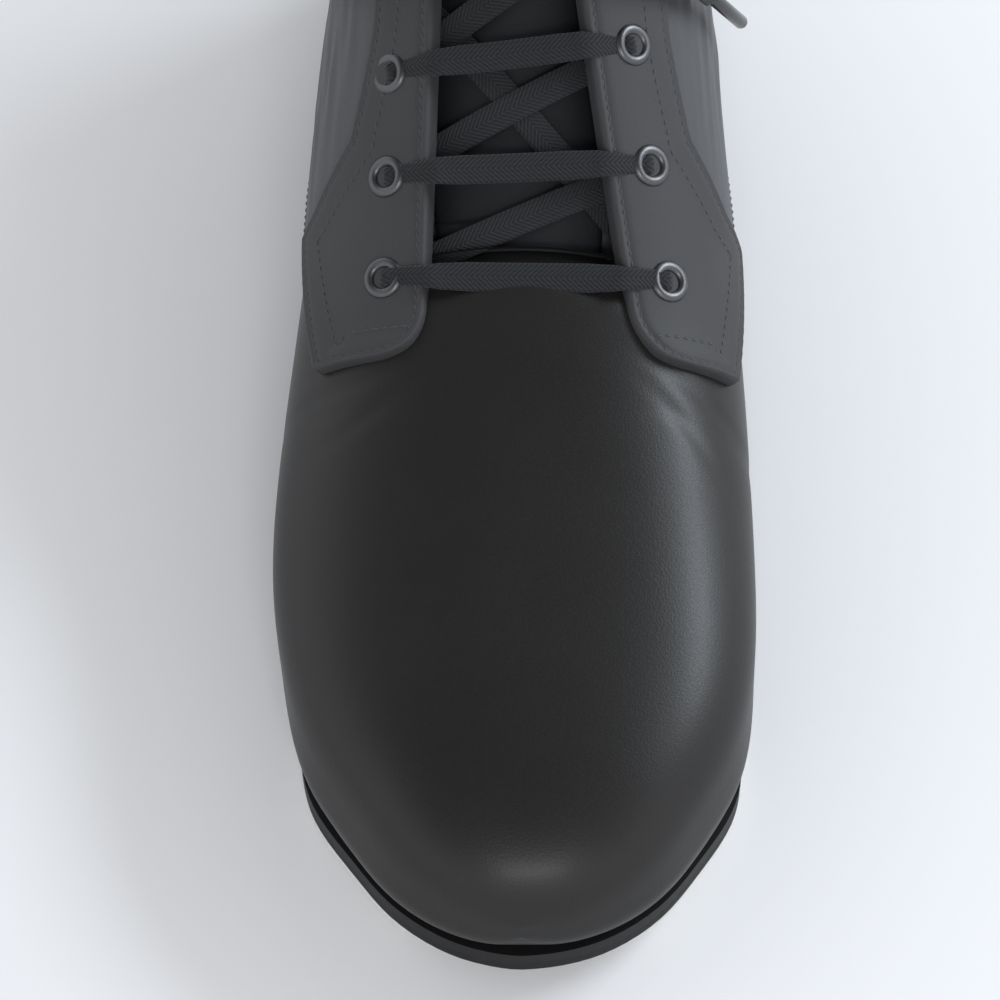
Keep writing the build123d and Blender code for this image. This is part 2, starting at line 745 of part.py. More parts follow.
def strap(start, finish, last, marks, lifts, overrun):
    """A flat run of lace from start to finish over a last, and its middle line's points.

    marks are shares of the run where its height is set, lifts the heights of its middle over the last
    there, and overrun how far it reaches past both ends.
    """
    along = (finish - start).normalized()
    up = (instep_up - along * instep_up.dot(along)).normalized()
    span = (finish - start).length
    line = []
    for mark, lift in zip(marks, lifts):
        hit = highest_hit(last, start + along * (span * mark), up)
        line.append((span * mark, (hit - start).dot(up) + lift))
    line = [extended(line[1], line[0], overrun), *line[1:-1], extended(line[-2], line[-1], overrun)]
    half = lace_thickness / 2
    with BuildPart() as run:
        with BuildSketch(Plane(origin=start, x_dir=along, z_dir=along.cross(up))):
            with BuildLine():
                over = [(u, v + half) for u, v in line]
                under = [(u, v - half) for u, v in line]
                Spline(over)
                Spline(under)
                Line(over[0], under[0])
                Line(over[-1], under[-1])
            make_face()
        extrude(amount=lace_width / 2, both=True)
    return run.part, [start + along * u + up * v for u, v in line]


lace_overrun = lace_pass_diameter / 2 + 0.3
top_lift = eyelet_flange_height - flange_sink + lace_gap + lace_thickness / 2
edge_mark = eyelet_margin_lateral / (2 * (throat_half_width_low + eyelet_margin_lateral))
top_marks = [0, edge_mark * 0.5, edge_mark, 0.5, 1 - edge_mark, 1 - edge_mark * 0.5, 1]
under_marks = [0, 0.1, 0.2, 0.35, 0.5, 0.65, 0.8, 0.9, 1]
bridge_drop = 2.6  # how far a top run stands below the last's crest between the facings


def lace_pass(place, depth):
    """The lace gathered in one eyelet, from a top run down to a run under the facing."""
    point, normal = eyelet_places[place]
    with BuildPart(Plane(origin=point - normal * depth, z_dir=normal)) as gathered:
        Cylinder(
            lace_pass_diameter / 2,
            depth + top_lift,
            align=(Align.CENTER, Align.CENTER, Align.MIN),
        )
    return gathered.part


def top_run(number):
    """The straight run of lace on top of the facings at one pair of eyelets."""
    start, finish = eyelet_points[-1, number], eyelet_points[1, number]
    lifts = [top_lift, top_lift, top_lift, -bridge_drop, top_lift, top_lift, top_lift]
    return strap(start, finish, quarter_last, top_marks, lifts, lace_overrun)


tongue_room = layer(tongue_room_last, [tongue_prism(TONGUE_ROOT - 3.0, -1.0)])
with BuildPart() as lace_laced:
    for number in range(eyelet_count):
        run, middle_line = top_run(number)
        add(run)
    for number in range(eyelet_count - 1):
        ends = eyelet_points[-1, number], eyelet_points[1, number + 1]
        add(strap(*ends, cross_lace_last, under_marks, [0] * 9, lace_overrun)[0])
        add(lace_pass((-1, number), quarter_face - cross_lace_middle))
        add(lace_pass((1, number + 1), quarter_face - cross_lace_middle))
    ends = eyelet_points[-1, last_pair], eyelet_points[1, 0]
    add(strap(*ends, long_lace_last, under_marks, [0] * 9, lace_overrun)[0])
    add(lace_pass((-1, last_pair), quarter_face - long_lace_middle))
    add(lace_pass((1, 0), quarter_face - long_lace_middle))
    for side in (1, -1):
        add(pieces[f"eyelets_{SIDE_NAMES[side]}"], mode=Mode.SUBTRACT)
        add(pieces[f"quarter_lining_{SIDE_NAMES[side]}"], mode=Mode.SUBTRACT)
    add(pieces["vamp"], mode=Mode.SUBTRACT)
    add(pieces["vamp_interlining"], mode=Mode.SUBTRACT)
    add(tongue_room, mode=Mode.SUBTRACT)
finish_piece("lace_laced", lace_laced.part)

knot_seat = middle_line[3] + instep_up * (lace_thickness / 2)
with BuildPart(Plane(origin=knot_seat, x_dir=(1, 0, 0), z_dir=instep_up)) as knot_block:
    Box(knot_length, knot_depth, knot_rise, align=(Align.CENTER, Align.CENTER, Align.MIN))
    fillet(edges(), knot_rise * 0.27)
with BuildPart() as lace_knot:
    add(knot_block.part)
    add(lace_laced.part, mode=Mode.SUBTRACT)
finish_piece("lace_knot", lace_knot.part)

# ---- bow, ends and aglets -----------------------------------------------------------------------
def corner_radii(points):
    """A radius for every corner of a route, as large as its shorter run allows."""
    radii = []
    for before, corner, after in zip(points, points[1:], points[2:]):
        into, out = corner - before, after - corner
        half_turn = math.radians(into.get_angle(out) / 2)
        radii.append(corner_reach * min(into.length, out.length) / math.tan(half_turn))
    return radii


def cord(name, points):
    """A round cord along a route of straight runs joined by arcs."""
    radii = corner_radii(points)
    with BuildPart() as swept:
        with BuildLine() as route:
            FilletPolyline(*points, radius=radii)
        with BuildSketch(Plane(origin=route.line @ 0, z_dir=route.line % 0)):
            Circle(cord_diameter / 2)
        sweep()
    length = sum(edge.length for edge in route.edges())
    filled = swept.part.volume / (math.pi * cord_diameter**2 / 4 * length)
    print(name, "length", round(length, 1), "volume share", round(filled, 4))
    print("   radii", [round(radius, 1) for radius in radii])
    return swept.part


def from_knot(side, points):
    """Points given from the knot's seat (outward to one side, backward, up) in the shoe's frame."""
    return [knot_seat + Vector(side * out, back, up) for out, back, up in points]


def knot_exit(along, rise, reach=0.0):
    """A place on the knot's side face, from its seat: out, backward, up."""
    spot = climb * along + instep_up * rise
    return (knot_length / 2 + reach, spot.Y, spot.Z)


corner_reach = 0.45  # share of a run that the arc at its end takes up
exit_run = 10.5  # every cord leaves the knot square to its side
end_exit = (-0.36 * knot_depth, 0.3 * knot_rise)
front_exit = (-0.15 * knot_depth, 0.75 * knot_rise)
back_exit = (0.28 * knot_depth, 0.5 * knot_rise)
END_ROUTES = {
    1: [(32.0, -4.0, -4.0), (41.0, -0.5, -12.6), (46.8, 3.5, -24.1)],
    -1: [(30.5, -1.5, -4.5), (38.0, 4.5, -14.0), (42.0, 11.0, -25.0)],
}
LOOP_ROUTES = {
    1: [
        (31.0, -3.5, 5.5), (41.5, 3.0, 1.0), (48.5, 13.0, -6.0), (49.5, 25.0, -11.5),
        (43.0, 34.5, -9.0), (33.0, 37.0, 1.0), (26.5, 27.5, 9.5), (23.5, 14.0, 10.5),
    ],
    -1: [
        (30.0, -2.5, 6.5), (40.0, 5.0, 2.5), (46.5, 16.0, -4.0), (47.0, 28.5, -9.5),
        (40.5, 38.0, -8.0), (30.5, 38.5, 0.5), (24.5, 28.5, 7.0), (23.0, 14.5, 9.5),
    ],
}
for side in (1, -1):
    name = SIDE_NAMES[side]
    end_points = [knot_exit(*end_exit), knot_exit(*end_exit, exit_run + 2.0), *END_ROUTES[side]]
    end_points = from_knot(side, end_points)
    finish_piece(f"lace_end_{name}", cord(f"lace_end_{name}", end_points))
    loop_points = [
        knot_exit(*front_exit),
        knot_exit(*front_exit, exit_run),
        *LOOP_ROUTES[side],
        knot_exit(*back_exit, exit_run),
        knot_exit(*back_exit),
    ]
    finish_piece(f"lace_loop_{name}", cord(f"lace_loop_{name}", from_knot(side, loop_points)))
    hang = (end_points[-1] - end_points[-2]).normalized()
    with BuildPart(Plane(origin=end_points[-1], z_dir=hang)) as aglet:
        Cylinder(aglet_diameter / 2, aglet_length, align=(Align.CENTER, Align.CENTER, Align.MIN))
    finish_piece(f"aglet_{name}", aglet.part)

# ---- centring and export ------------------------------------------------------------------------
OUTER_PIECES = ("vamp", "quarter_medial", "quarter_lateral", "backstay", "outsole", "collar_binding")
boxes = [pieces[name].bounding_box() for name in OUTER_PIECES]
middle_x = (min(box.min.X for box in boxes) + max(box.max.X for box in boxes)) / 2
middle_y = (min(box.min.Y for box in boxes) + max(box.max.Y for box in boxes)) / 2
centring = Location((-middle_x, -middle_y, 0))
for name, part in pieces.items():
    placed = part.moved(centring)
    placed.label = name
    export_step(placed, f"parts/{name}.step")
print("moved by", round(-middle_x, 3), round(-middle_y, 3))
hinge = (station(TONGUE_ROOT) - middle_y, root_top + tongue_face - lining_back)
print("tongue hinge at", round(hinge[0], 2), round(hinge[1], 2))
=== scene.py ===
"""Looks of a laced bowling shoe: leather panels, stitching, eyelets, lace, sole and studio.

Shapes are worked out in millimetres in the last's own frame and written to Blender in metres, in the
shared frame: toe towards -Y, medial side towards +X, the ground at z = 0.
"""

import json
import logging
import math
from dataclasses import dataclass
from enum import Enum
from typing import Callable, Sequence

import bpy
import numpy as np
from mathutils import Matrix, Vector


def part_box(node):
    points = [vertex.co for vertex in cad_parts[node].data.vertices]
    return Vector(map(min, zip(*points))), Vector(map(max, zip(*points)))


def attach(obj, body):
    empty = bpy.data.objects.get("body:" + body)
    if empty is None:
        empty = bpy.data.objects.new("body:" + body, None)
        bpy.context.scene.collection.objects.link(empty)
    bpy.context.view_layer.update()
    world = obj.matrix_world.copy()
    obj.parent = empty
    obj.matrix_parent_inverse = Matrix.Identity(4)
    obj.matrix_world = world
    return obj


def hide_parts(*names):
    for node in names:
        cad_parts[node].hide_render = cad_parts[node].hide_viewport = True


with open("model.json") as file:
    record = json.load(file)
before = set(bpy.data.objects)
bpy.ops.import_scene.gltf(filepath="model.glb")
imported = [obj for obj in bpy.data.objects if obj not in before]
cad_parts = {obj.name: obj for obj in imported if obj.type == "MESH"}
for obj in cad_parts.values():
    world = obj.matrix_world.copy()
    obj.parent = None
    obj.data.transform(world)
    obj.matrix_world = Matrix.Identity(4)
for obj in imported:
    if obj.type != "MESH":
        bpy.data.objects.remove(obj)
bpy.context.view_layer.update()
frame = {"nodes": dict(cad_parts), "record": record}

log = logging.getLogger("shoe")
logging.basicConfig(level=logging.INFO, format="%(message)s")

MM = 0.001
SEED = 11
Array = np.ndarray

# ---- sizes in millimetres -------------------------------------------------------------------------
UPPER_LENGTH = 294.0
LEATHER = 1.6
LINING_DEPTH = 3.2
ROWS = (
    (0.0, 0.2, 0.2, 23.6, 24.9, 26.4, 2.4, 2.4, -1.0),
    (0.8, 5.9, 7.2, 20.5, 25.0, 29.0, 2.4, 2.4, -0.97),
    (3.0, 13.0, 15.0, 18.2, 25.0, 33.5, 2.4, 2.4, -0.91),
    (7.0, 20.1, 22.4, 16.0, 25.0, 37.5, 2.4, 2.4, -0.81),
    (13.0, 27.1, 29.4, 14.0, 25.0, 41.0, 2.4, 2.4, -0.67),
    (23.0, 34.7, 36.8, 11.6, 25.0, 44.5, 2.4, 2.4, -0.52),
    (38.0, 43.9, 45.0, 9.2, 25.5, 47.3, 2.35, 2.35, -0.30),
    (58.0, 51.1, 50.3, 7.2, 26.5, 49.8, 2.3, 2.3, -0.13),
    (82.0, 54.6, 51.6, 6.2, 27.5, 53.2, 2.2, 2.25, 0.0),
    (108.0, 54.2, 51.2, 6.4, 29.0, 59.5, 2.1, 2.15, 0.0),
    (136.0, 51.8, 50.2, 8.8, 31.0, 69.5, 2.05, 2.1, 0.0),
    (164.0, 49.0, 48.0, 13.2, 34.0, 85.0, 2.0, 2.05, 0.0),
    (192.0, 46.4, 45.4, 17.2, 38.0, 102.5, 1.95, 2.0, 0.0),
    (220.0, 43.4, 42.6, 19.2, 42.0, 120.0, 1.95, 2.0, 0.0),
    (246.0, 40.0, 38.6, 19.5, 44.0, 131.0, 1.95, 2.0, 0.10),
    (268.0, 35.6, 34.4, 19.5, 44.0, 136.0, 2.0, 2.0, 0.35),
    (283.0, 27.5, 26.8, 19.5, 44.0, 137.0, 2.1, 2.1, 0.68),
    (290.0, 18.5, 18.2, 19.5, 44.0, 137.0, 2.1, 2.1, 0.88),
    (293.4, 8.5, 8.5, 19.5, 44.0, 137.0, 2.1, 2.1, 0.97),
    (294.0, 0.3, 0.3, 19.5, 44.0, 137.0, 2.1, 2.1, 1.0),
)
BOTTOM_POWER = 5.5
FAR = 400.0
VAMP_BACK = 142.0
FACING_FRONT = 119.5
SEAM = (
    (119.5, 56.0), (123.0, 45.0), (160.0, 44.5), (162.5, 56.0), (171.5, 71.0), (190.0, 84.0),
    (210.0, 95.5), (226.0, 104.0),
)
LATERAL_SEAM = (*((d, level + 4.5) for d, level in SEAM[:3]), *SEAM[3:])
QUARTER_LOWER = ((150.0, FAR), (152.0, 60.0), (158.0, 44.5), (200.0, 37.0), (236.0, 22.0), (246.0, -40.0))
TOP_LINE = ((219.0, 106.0), (231.0, 89.0), (250.0, 78.0), (272.0, 82.0), (294.0, 96.0), (320.0, 100.0))
FACING_TOP = (204.0, 170.0)
THROAT = (128.0, 214.0)
THROAT_MIDDLE = (1.5, -4.8)
THROAT_HALF = (22.2, 13.4)
EYELET_MARGIN = {1: 10.6, -1: 9.8}
FIRST_EYELET = 138.2
EYELET_PITCH = {1: 22.6, -1: 20.8}
EYELETS = 4
LACE_WIDTH = 6.4
LACE_THICKNESS = 1.2
KNOT_SIZE = (17.0, 15.0, 11.0)


def spline_columns(knots: Array, values: Array, at: Array) -> Array:
    """Natural cubic spline through rows of values.

    Args:
        knots: parameters of the rows, rising.
        values: one row of columns for each knot.
        at: parameters to evaluate.

    Returns:
        One row of columns for each parameter.
    """
    count = len(knots)
    gap = np.diff(knots)
    slope = np.diff(values, axis=0) / gap[:, None]
    system = np.eye(count)
    right = np.zeros_like(values)
    for k in range(1, count - 1):
        system[k, k - 1 : k + 2] = gap[k - 1], 2 * (gap[k - 1] + gap[k]), gap[k]
        right[k] = 6 * (slope[k] - slope[k - 1])
    bend = np.linalg.solve(system, right)
    k = np.clip(np.searchsorted(knots, at) - 1, 0, count - 2)
    a = ((knots[k + 1] - at) / gap[k])[:, None]
    b = 1 - a
    width = gap[k][:, None] ** 2 / 6
    return a * values[k] + b * values[k + 1] + ((a**3 - a) * bend[k] + (b**3 - b) * bend[k + 1]) * width


class Last:
    """The shape that every layer of the shoe is stretched over."""

    def __init__(self, shift: Array) -> None:
        """Args:
            shift: where the last's own origin stands in the shared frame, in millimetres.
        """
        self.shift = shift
        rows = np.array(ROWS)
        steps = np.diff(rows[:, (0, 1, 5)], axis=0)
        self._knots = np.concatenate([[0.0], np.cumsum(np.linalg.norm(steps, axis=1))])
        self._rows = rows
        self.end = float(self._knots[-1])
        self._table_t = np.linspace(0.0, self.end, 1200)
        self._table_d = self.sizes(self._table_t)[:, 0]

    def sizes(self, t: Array) -> Array:
        """All section sizes at parameters along the last."""
        return spline_columns(self._knots, self._rows, np.clip(t, 0.0, self.end))

    def at_distance(self, distance: Array) -> Array:
        """Parameter along the last of a distance from the toe."""
        return np.interp(distance, self._table_d, self._table_t)

    def point(self, t: Array, turn: Array, grow: Array | float = 0.0) -> Array:
        """Points of the last.

        Args:
            t: parameter along the last.
            turn: angle round the section, 0 at the medial side and pi at the lateral side.
            grow: height above the last.

        Returns:
            Points in the last's own frame, millimetres.
        """
        d, lateral, medial, bottom, widest, crest, p_lateral, p_medial, look = self.sizes(t).T
        swell = grow * np.sqrt(np.clip(1 - look**2, 0, 1))
        c, s = np.cos(turn), np.sin(turn)
        upper = s >= 0
        power = np.where(upper, np.where(c >= 0, p_medial, p_lateral), BOTTOM_POWER)
        half = np.where(c >= 0, medial, lateral) + swell
        reach = np.where(upper, crest - widest + swell, -(widest - bottom + swell))
        x = np.sign(c) * np.abs(c) ** (2 / power) * half
        z = widest + np.abs(s) ** (2 / power) * reach
        return np.stack([x, d - UPPER_LENGTH / 2 + grow * look, z], axis=1)

    def normal(self, t: Array, turn: Array) -> Array:
        """Outward unit normals of the last."""
        e = 0.02
        along = self.point(np.minimum(t + e, self.end), turn) - self.point(np.maximum(t - e, 0.0), turn)
        around = self.point(t, turn + e / 20) - self.point(t, turn - e / 20)
        n = np.cross(around, along)
        n /= np.maximum(np.linalg.norm(n, axis=1, keepdims=True), 1e-9)
        out = self.point(t, turn, 1.0) - self.point(t, turn, 0.0)
        return n * np.where(np.sum(n * out, axis=1) < 0, -1.0, 1.0)[:, None]

    def top_height(self, x: Array, y: Array, grow: float) -> Array:
        """Height of the last's upper side over plan positions, behind the toe and before the heel."""
        d = y + UPPER_LENGTH / 2
        _, lateral, medial, _, widest, crest, p_lateral, p_medial, _ = self.sizes(self.at_distance(d)).T
        half = np.where(x >= 0, medial, lateral) + grow
        power = np.where(x >= 0, p_medial, p_lateral)
        share = np.clip(np.abs(x) / half, 0, 1)
        return widest + (crest - widest + grow) * (1 - share**power) ** (1 / power)

    def raised_onto(self, points: Array, up: Array, grow: float) -> Array:
        """Points moved along up until they lie on the last grown by grow."""
        low, high = np.full(len(points), -25.0), np.full(len(points), 45.0)
        for _ in range(28):
            middle = (low + high) / 2
            p = points + middle[:, None] * up
            under = p[:, 2] < self.top_height(p[:, 0], p[:, 1], grow)
            low, high = np.where(under, middle, low), np.where(under, high, middle)
        return points + ((low + high) / 2)[:, None] * up

    def level_turn(self, t: Array, level: Array, side: int, grow: float = 0.0) -> Array:
        """Angle round the section where the last reaches a level on one side."""
        _, _, _, _, widest, crest, p_lateral, p_medial, _ = self.sizes(t).T
        power = p_medial if side > 0 else p_lateral
        share = np.clip((level - widest) / (crest - widest + grow), 0, 1)
        s = share ** (power / 2)
        turn = np.arcsin(np.clip(s, 0, 1))
        return turn if side > 0 else math.pi - turn

    def world(self, points: Array) -> Array:
        """Points of the last's own frame in the shared frame, metres."""
        return (points + self.shift) * MM


# ---- meshes ---------------------------------------------------------------------------------------
def make_object(name: str, points: Array, faces: Sequence, uv: Array | None = None) -> bpy.types.Object:
    """A smooth-shaded mesh object from points in metres.

    Args:
        name: name of the object.
        points: one row for each vertex.
        faces: vertex numbers of each face.
        uv: texture coordinates of each vertex, or None.

    Returns:
        The new object, linked into the scene.
    """
    mesh = bpy.data.meshes.new(name)
    mesh.from_pydata([tuple(map(float, p)) for p in points], [], [tuple(map(int, f)) for f in faces])
    mesh.validate()
    mesh.polygons.foreach_set("use_smooth", [True] * len(mesh.polygons))
    if uv is not None:
        layer = mesh.uv_layers.new(name="weave")
        corner = np.empty(len(mesh.loops), dtype=np.int64)
        mesh.loops.foreach_get("vertex_index", corner)
        layer.data.foreach_set("uv", np.asarray(uv, dtype=np.float32)[corner].ravel())
    obj = bpy.data.objects.new(name, mesh)
    bpy.context.scene.collection.objects.link(obj)
    return obj


def curve_distance(points: Array, curve: Array) -> tuple[Array, Array]:
    """Signed distance of plane points from an open curve, positive on its left.

    Args:
        points: one row of two coordinates for each point.
        curve: the curve's points in order.

    Returns:
        The signed distances and the unit directions in which they grow.
    """
    best = np.full(len(points), np.inf)
    signed = np.zeros(len(points))
    way = np.zeros_like(points)
    for a, b in zip(curve[:-1], curve[1:]):
        run = b - a
        share = np.clip(((points - a) @ run) / max(run @ run, 1e-12), 0, 1)
        off = points - (a + share[:, None] * run)
        gap = np.linalg.norm(off, axis=1)
        left = run[0] * (points[:, 1] - a[1]) - run[1] * (points[:, 0] - a[0])
        sign = np.where(left >= 0, 1.0, -1.0)
        near = gap < best - 1e-9
        best = np.where(near, gap, best)
        signed = np.where(near, sign * gap, signed)
        unit = off / np.maximum(gap, 1e-9)[:, None] * sign[:, None]
        way = np.where(near[:, None], unit, way)
    return signed, way


def rounded_min(a: Array, b: Array, radius: float) -> Array:
    """The smaller of two edge distances, with the corner between the edges rounded."""
    ra, rb = np.maximum(radius - a, 0), np.maximum(radius - b, 0)
    rounded = radius - np.hypot(ra, rb)
    return np.where((ra > 0) & (rb > 0), rounded, np.minimum(a, b))


def smooth_line(points: Sequence, step: float, closed: bool = False) -> Array:
    """A Catmull-Rom line through points, sampled about every step."""
    p = np.asarray(points, dtype=float)
    ring = np.vstack([p[-1], p, p[0], p[1]]) if closed else np.vstack([2 * p[0] - p[1], p, 2 * p[-1] - p[-2]])
    out = []
    for k in range(1, len(ring) - 2):
        p0, p1, p2, p3 = ring[k - 1 : k + 3]
        count = max(2, int(np.linalg.norm(p2 - p1) / step) + 1)
        s = np.linspace(0, 1, count, endpoint=False)[:, None]
        out.append(
            0.5 * (2 * p1 + (p2 - p0) * s + (2 * p0 - 5 * p1 + 4 * p2 - p3) * s**2 + (3 * p1 - p0 - 3 * p2 + p3) * s**3)
        )
    if not closed:
        out.append(p[-1:])
    return np.vstack(out)


def resampled(line: Array, step: float) -> tuple[Array, Array]:
    """Points at even spacing along a line, and the unit directions there."""
    lengths = np.concatenate([[0], np.cumsum(np.linalg.norm(np.diff(line, axis=0), axis=1))])
    count = max(2, int(round(lengths[-1] / step)))
    at = (np.arange(count) + 0.5) * lengths[-1] / count
    spots = np.stack([np.interp(at, lengths, line[:, k]) for k in range(3)], axis=1)
    ahead = np.stack([np.interp(at + 0.3, lengths, line[:, k]) for k in range(3)], axis=1)
    behind = np.stack([np.interp(at - 0.3, lengths, line[:, k]) for k in range(3)], axis=1)
    way = ahead - behind
    return spots, way / np.maximum(np.linalg.norm(way, axis=1, keepdims=True), 1e-9)


class Panel:
    """A piece of leather on the last, cut out by distances from its edges."""

    def __init__(self, last: Last, t_range: tuple[float, float], turn_range: tuple[float, float], step: float) -> None:
        """Args:
            last: the last under the panel.
            t_range: first and last parameter along the last.
            turn_range: first and last angle round it.
            step: size of the grid's squares in millimetres.
        """
        rows = max(8, int((t_range[1] - t_range[0]) / step))
        columns = max(8, int((turn_range[1] - turn_range[0]) * 62 / step))
        t, turn = np.meshgrid(np.linspace(*t_range, rows), np.linspace(*turn_range, columns), indexing="ij")
        self.last = last
        self.uv = np.stack([t.ravel(), turn.ravel()], axis=1)
        corner = (np.arange(rows - 1)[:, None] * columns + np.arange(columns - 1)[None, :]).ravel()
        a, b, c, d = corner, corner + 1, corner + columns + 1, corner + columns
        self.tris = np.vstack([np.stack([a, b, c], axis=1), np.stack([a, c, d], axis=1)])
        self.fields: dict[str, Array] = {}
        self.stitches: list[tuple[Array, Array, Array]] = []

    def base(self) -> Array:
        """The panel's points on the last itself."""
        return self.last.point(*self.uv.T)

    def surface_distance(self, signed: Array, way: Array) -> Array:
        """A distance in space turned into the distance along the panel."""
        n = self.last.normal(*self.uv.T)
        flat = np.sqrt(np.clip(1 - np.sum(n * way, axis=1) ** 2, 0.06, 1))
        return signed / flat

    def side_field(self, curve: Sequence, keep_left: bool) -> Array:
        """Distance along the panel from a curve of the side pattern."""
        p = self.base()
        line = np.asarray(curve, dtype=float) - (UPPER_LENGTH / 2, 0)
        signed, way = curve_distance(p[:, 1:], line)
        if not keep_left:
            signed, way = -signed, -way
        return self.surface_distance(signed, np.column_stack([np.zeros(len(p)), way]))

    def plan_field(self, a: Sequence[float], b: Sequence[float]) -> Array:
        """Distance along the panel from a line in plan, positive on its left."""
        p = self.base()
        run = np.subtract(b, a) / np.linalg.norm(np.subtract(b, a))
        out = np.array([-run[1], run[0]])
        signed = (p[:, :2] - a) @ out
        return self.surface_distance(signed, np.tile([out[0], out[1], 0.0], (len(p), 1)))

    def split(self, name: str, level: float) -> None:
        """Cut every triangle that a level of a field crosses along that level."""
        value = self.fields[name] - level
        value = np.where(np.abs(value) < 1e-4, 1e-4, value)
        positive = value > 0
        inside = positive[self.tris]
        mixed = inside.any(axis=1) & ~inside.all(axis=1)
        if not mixed.any():
            return
        tris, signs = self.tris[mixed], inside[mixed]
        lone = np.where(signs.sum(axis=1) == 1, signs.argmax(axis=1), (~signs).argmax(axis=1))
        order = (lone[:, None] + np.arange(3)) % 3
        a, b, c = np.take_along_axis(tris, order, axis=1).T
        pairs = np.sort(np.vstack([np.stack([a, b], axis=1), np.stack([a, c], axis=1)]), axis=1)
        unique, index = np.unique(pairs, axis=0, return_inverse=True)
        index = index.reshape(-1)
        share = value[unique[:, 0]] / (value[unique[:, 0]] - value[unique[:, 1]])
        first = len(self.uv)
        self.uv = np.vstack([self.uv, self._between(self.uv, unique, share)])
        for key in self.fields:
            fresh = self._between(self.fields[key], unique, share)
            if key == name:
                fresh[:] = level
            self.fields[key] = np.concatenate([self.fields[key], fresh])
        p, q = first + index[: len(a)], first + index[len(a) :]
        parts = [np.stack([a, p, q], 1), np.stack([p, b, c], 1), np.stack([p, c, q], 1)]
        self.tris = np.vstack([self.tris[~mixed], *parts])

    @staticmethod
    def _between(values: Array, pairs: Array, share: Array) -> Array:
        """Values part of the way along pairs of vertices."""
        weight = share if values.ndim == 1 else share[:, None]
        return values[pairs[:, 0]] * (1 - weight) + values[pairs[:, 1]] * weight

    def trim(self, name: str, level: float = 0.0) -> None:
        """Cut off everything under a level of a field."""
        self.split(name, level)
        keep = (self.fields[name][self.tris] >= level - 1e-3).all(axis=1)
        self.tris = self.tris[keep]
        used, fresh = np.unique(self.tris, return_inverse=True)
        self.uv = self.uv[used]
        self.fields = {key: value[used] for key, value in self.fields.items()}
        self.tris = fresh.reshape(-1, 3)

    def lines(self, name: str, level: float, guard: Callable[[dict], Array] | None = None) -> list[Array]:
        """Chains of vertices that lie on a level of a field."""
        on = np.abs(self.fields[name] - level) < 1e-5
        if guard is not None:
            on &= guard(self.fields)
        links: dict[int, list[int]] = {}
        for a, b in self._edges():
            if on[a] and on[b]:
                links.setdefault(a, []).append(b)
                links.setdefault(b, []).append(a)
        seen: set[int] = set()
        chains = []
        for start in sorted(links, key=lambda v: len(links[v])):
            if start in seen:
                continue
            chain, here = [start], start
            seen.add(start)
            while True:
                onward = [v for v in links[here] if v not in seen]
                if not onward:
                    break
                here = onward[0]
                seen.add(here)
                chain.append(here)
            if chain[0] in links[chain[-1]] and len(chain) > 4:
                chain.append(chain[0])
            if len(chain) > 3:
                chains.append(np.array(chain))
        return chains

    def _edges(self) -> Array:
        """All edges of the triangles, each once."""
        t = self.tris
        pairs = np.sort(np.vstack([t[:, (0, 1)], t[:, (1, 2)], t[:, (2, 0)]]), axis=1)
        return np.unique(pairs, axis=0)

    def build(self, name: str, height: Array, skirt: float, base: float = 0.0) -> bpy.types.Object:
        """Raise the panel over the last and close its edges downward.

        Args:
            name: name of the object.
            height: height of every vertex over the base.
            skirt: how far the edges are carried down, towards the last.
            base: height of the base over the last.

        Returns:
            The panel's object.
        """
        n = self.last.normal(*self.uv.T)
        points = self.last.point(*self.uv.T, grow=base) + n * height[:, None]
        along, turn = self.uv.T
        tips = (along < 1e-9) | (along > self.last.end - 1e-9)
        points[tips, 0] = 0.0
        closed = tips | ((np.abs(np.cos(turn)) < 1e-6) & (np.sin(turn) < 0))
        self.points, self.normals = points, n
        t = self.tris
        directed = np.vstack([t[:, (0, 1)], t[:, (1, 2)], t[:, (2, 0)]])
        keys = np.sort(directed, axis=1)
        _, first, counts = np.unique(keys, axis=0, return_index=True, return_counts=True)
        rim = directed[first[counts == 1]]
        rim = rim[~closed[rim].all(axis=1)]
        rim_vertices, fresh = np.unique(rim, return_inverse=True)
        fresh = fresh.reshape(-1, 2) + len(points)
        lowered = points[rim_vertices] - n[rim_vertices] * (skirt + height[rim_vertices][:, None])
        quads = np.column_stack([rim[:, 1], rim[:, 0], fresh[:, 0], fresh[:, 1]])
        faces = [*t.tolist(), *quads.tolist()]
        uv = np.vstack([self.uv, self.uv[rim_vertices]])
        return make_object(name, self.last.world(np.vstack([points, lowered])), faces, uv)


def rolled(distance: Array, radius: float, thickness: float) -> Array:
    """Height of a rolled leather edge at a distance from the edge."""
    share = np.clip(distance / radius, 0, 1)
    return thickness * np.sqrt(np.clip(1 - (1 - share) ** 2, 0, 1))


def edge_levels(radius: float) -> tuple[float, ...]:
    """Distances from a rolled edge where the mesh needs a line."""
    return tuple(radius * share for share in (0.08, 0.25, 0.55, 1.0))


@dataclass(frozen=True)
class Stitch:
    """Size of one thread stitch, millimetres."""

    pitch: float = 2.3
    length: float = 1.75
    radius: float = 0.33
    sink: float = 0.08


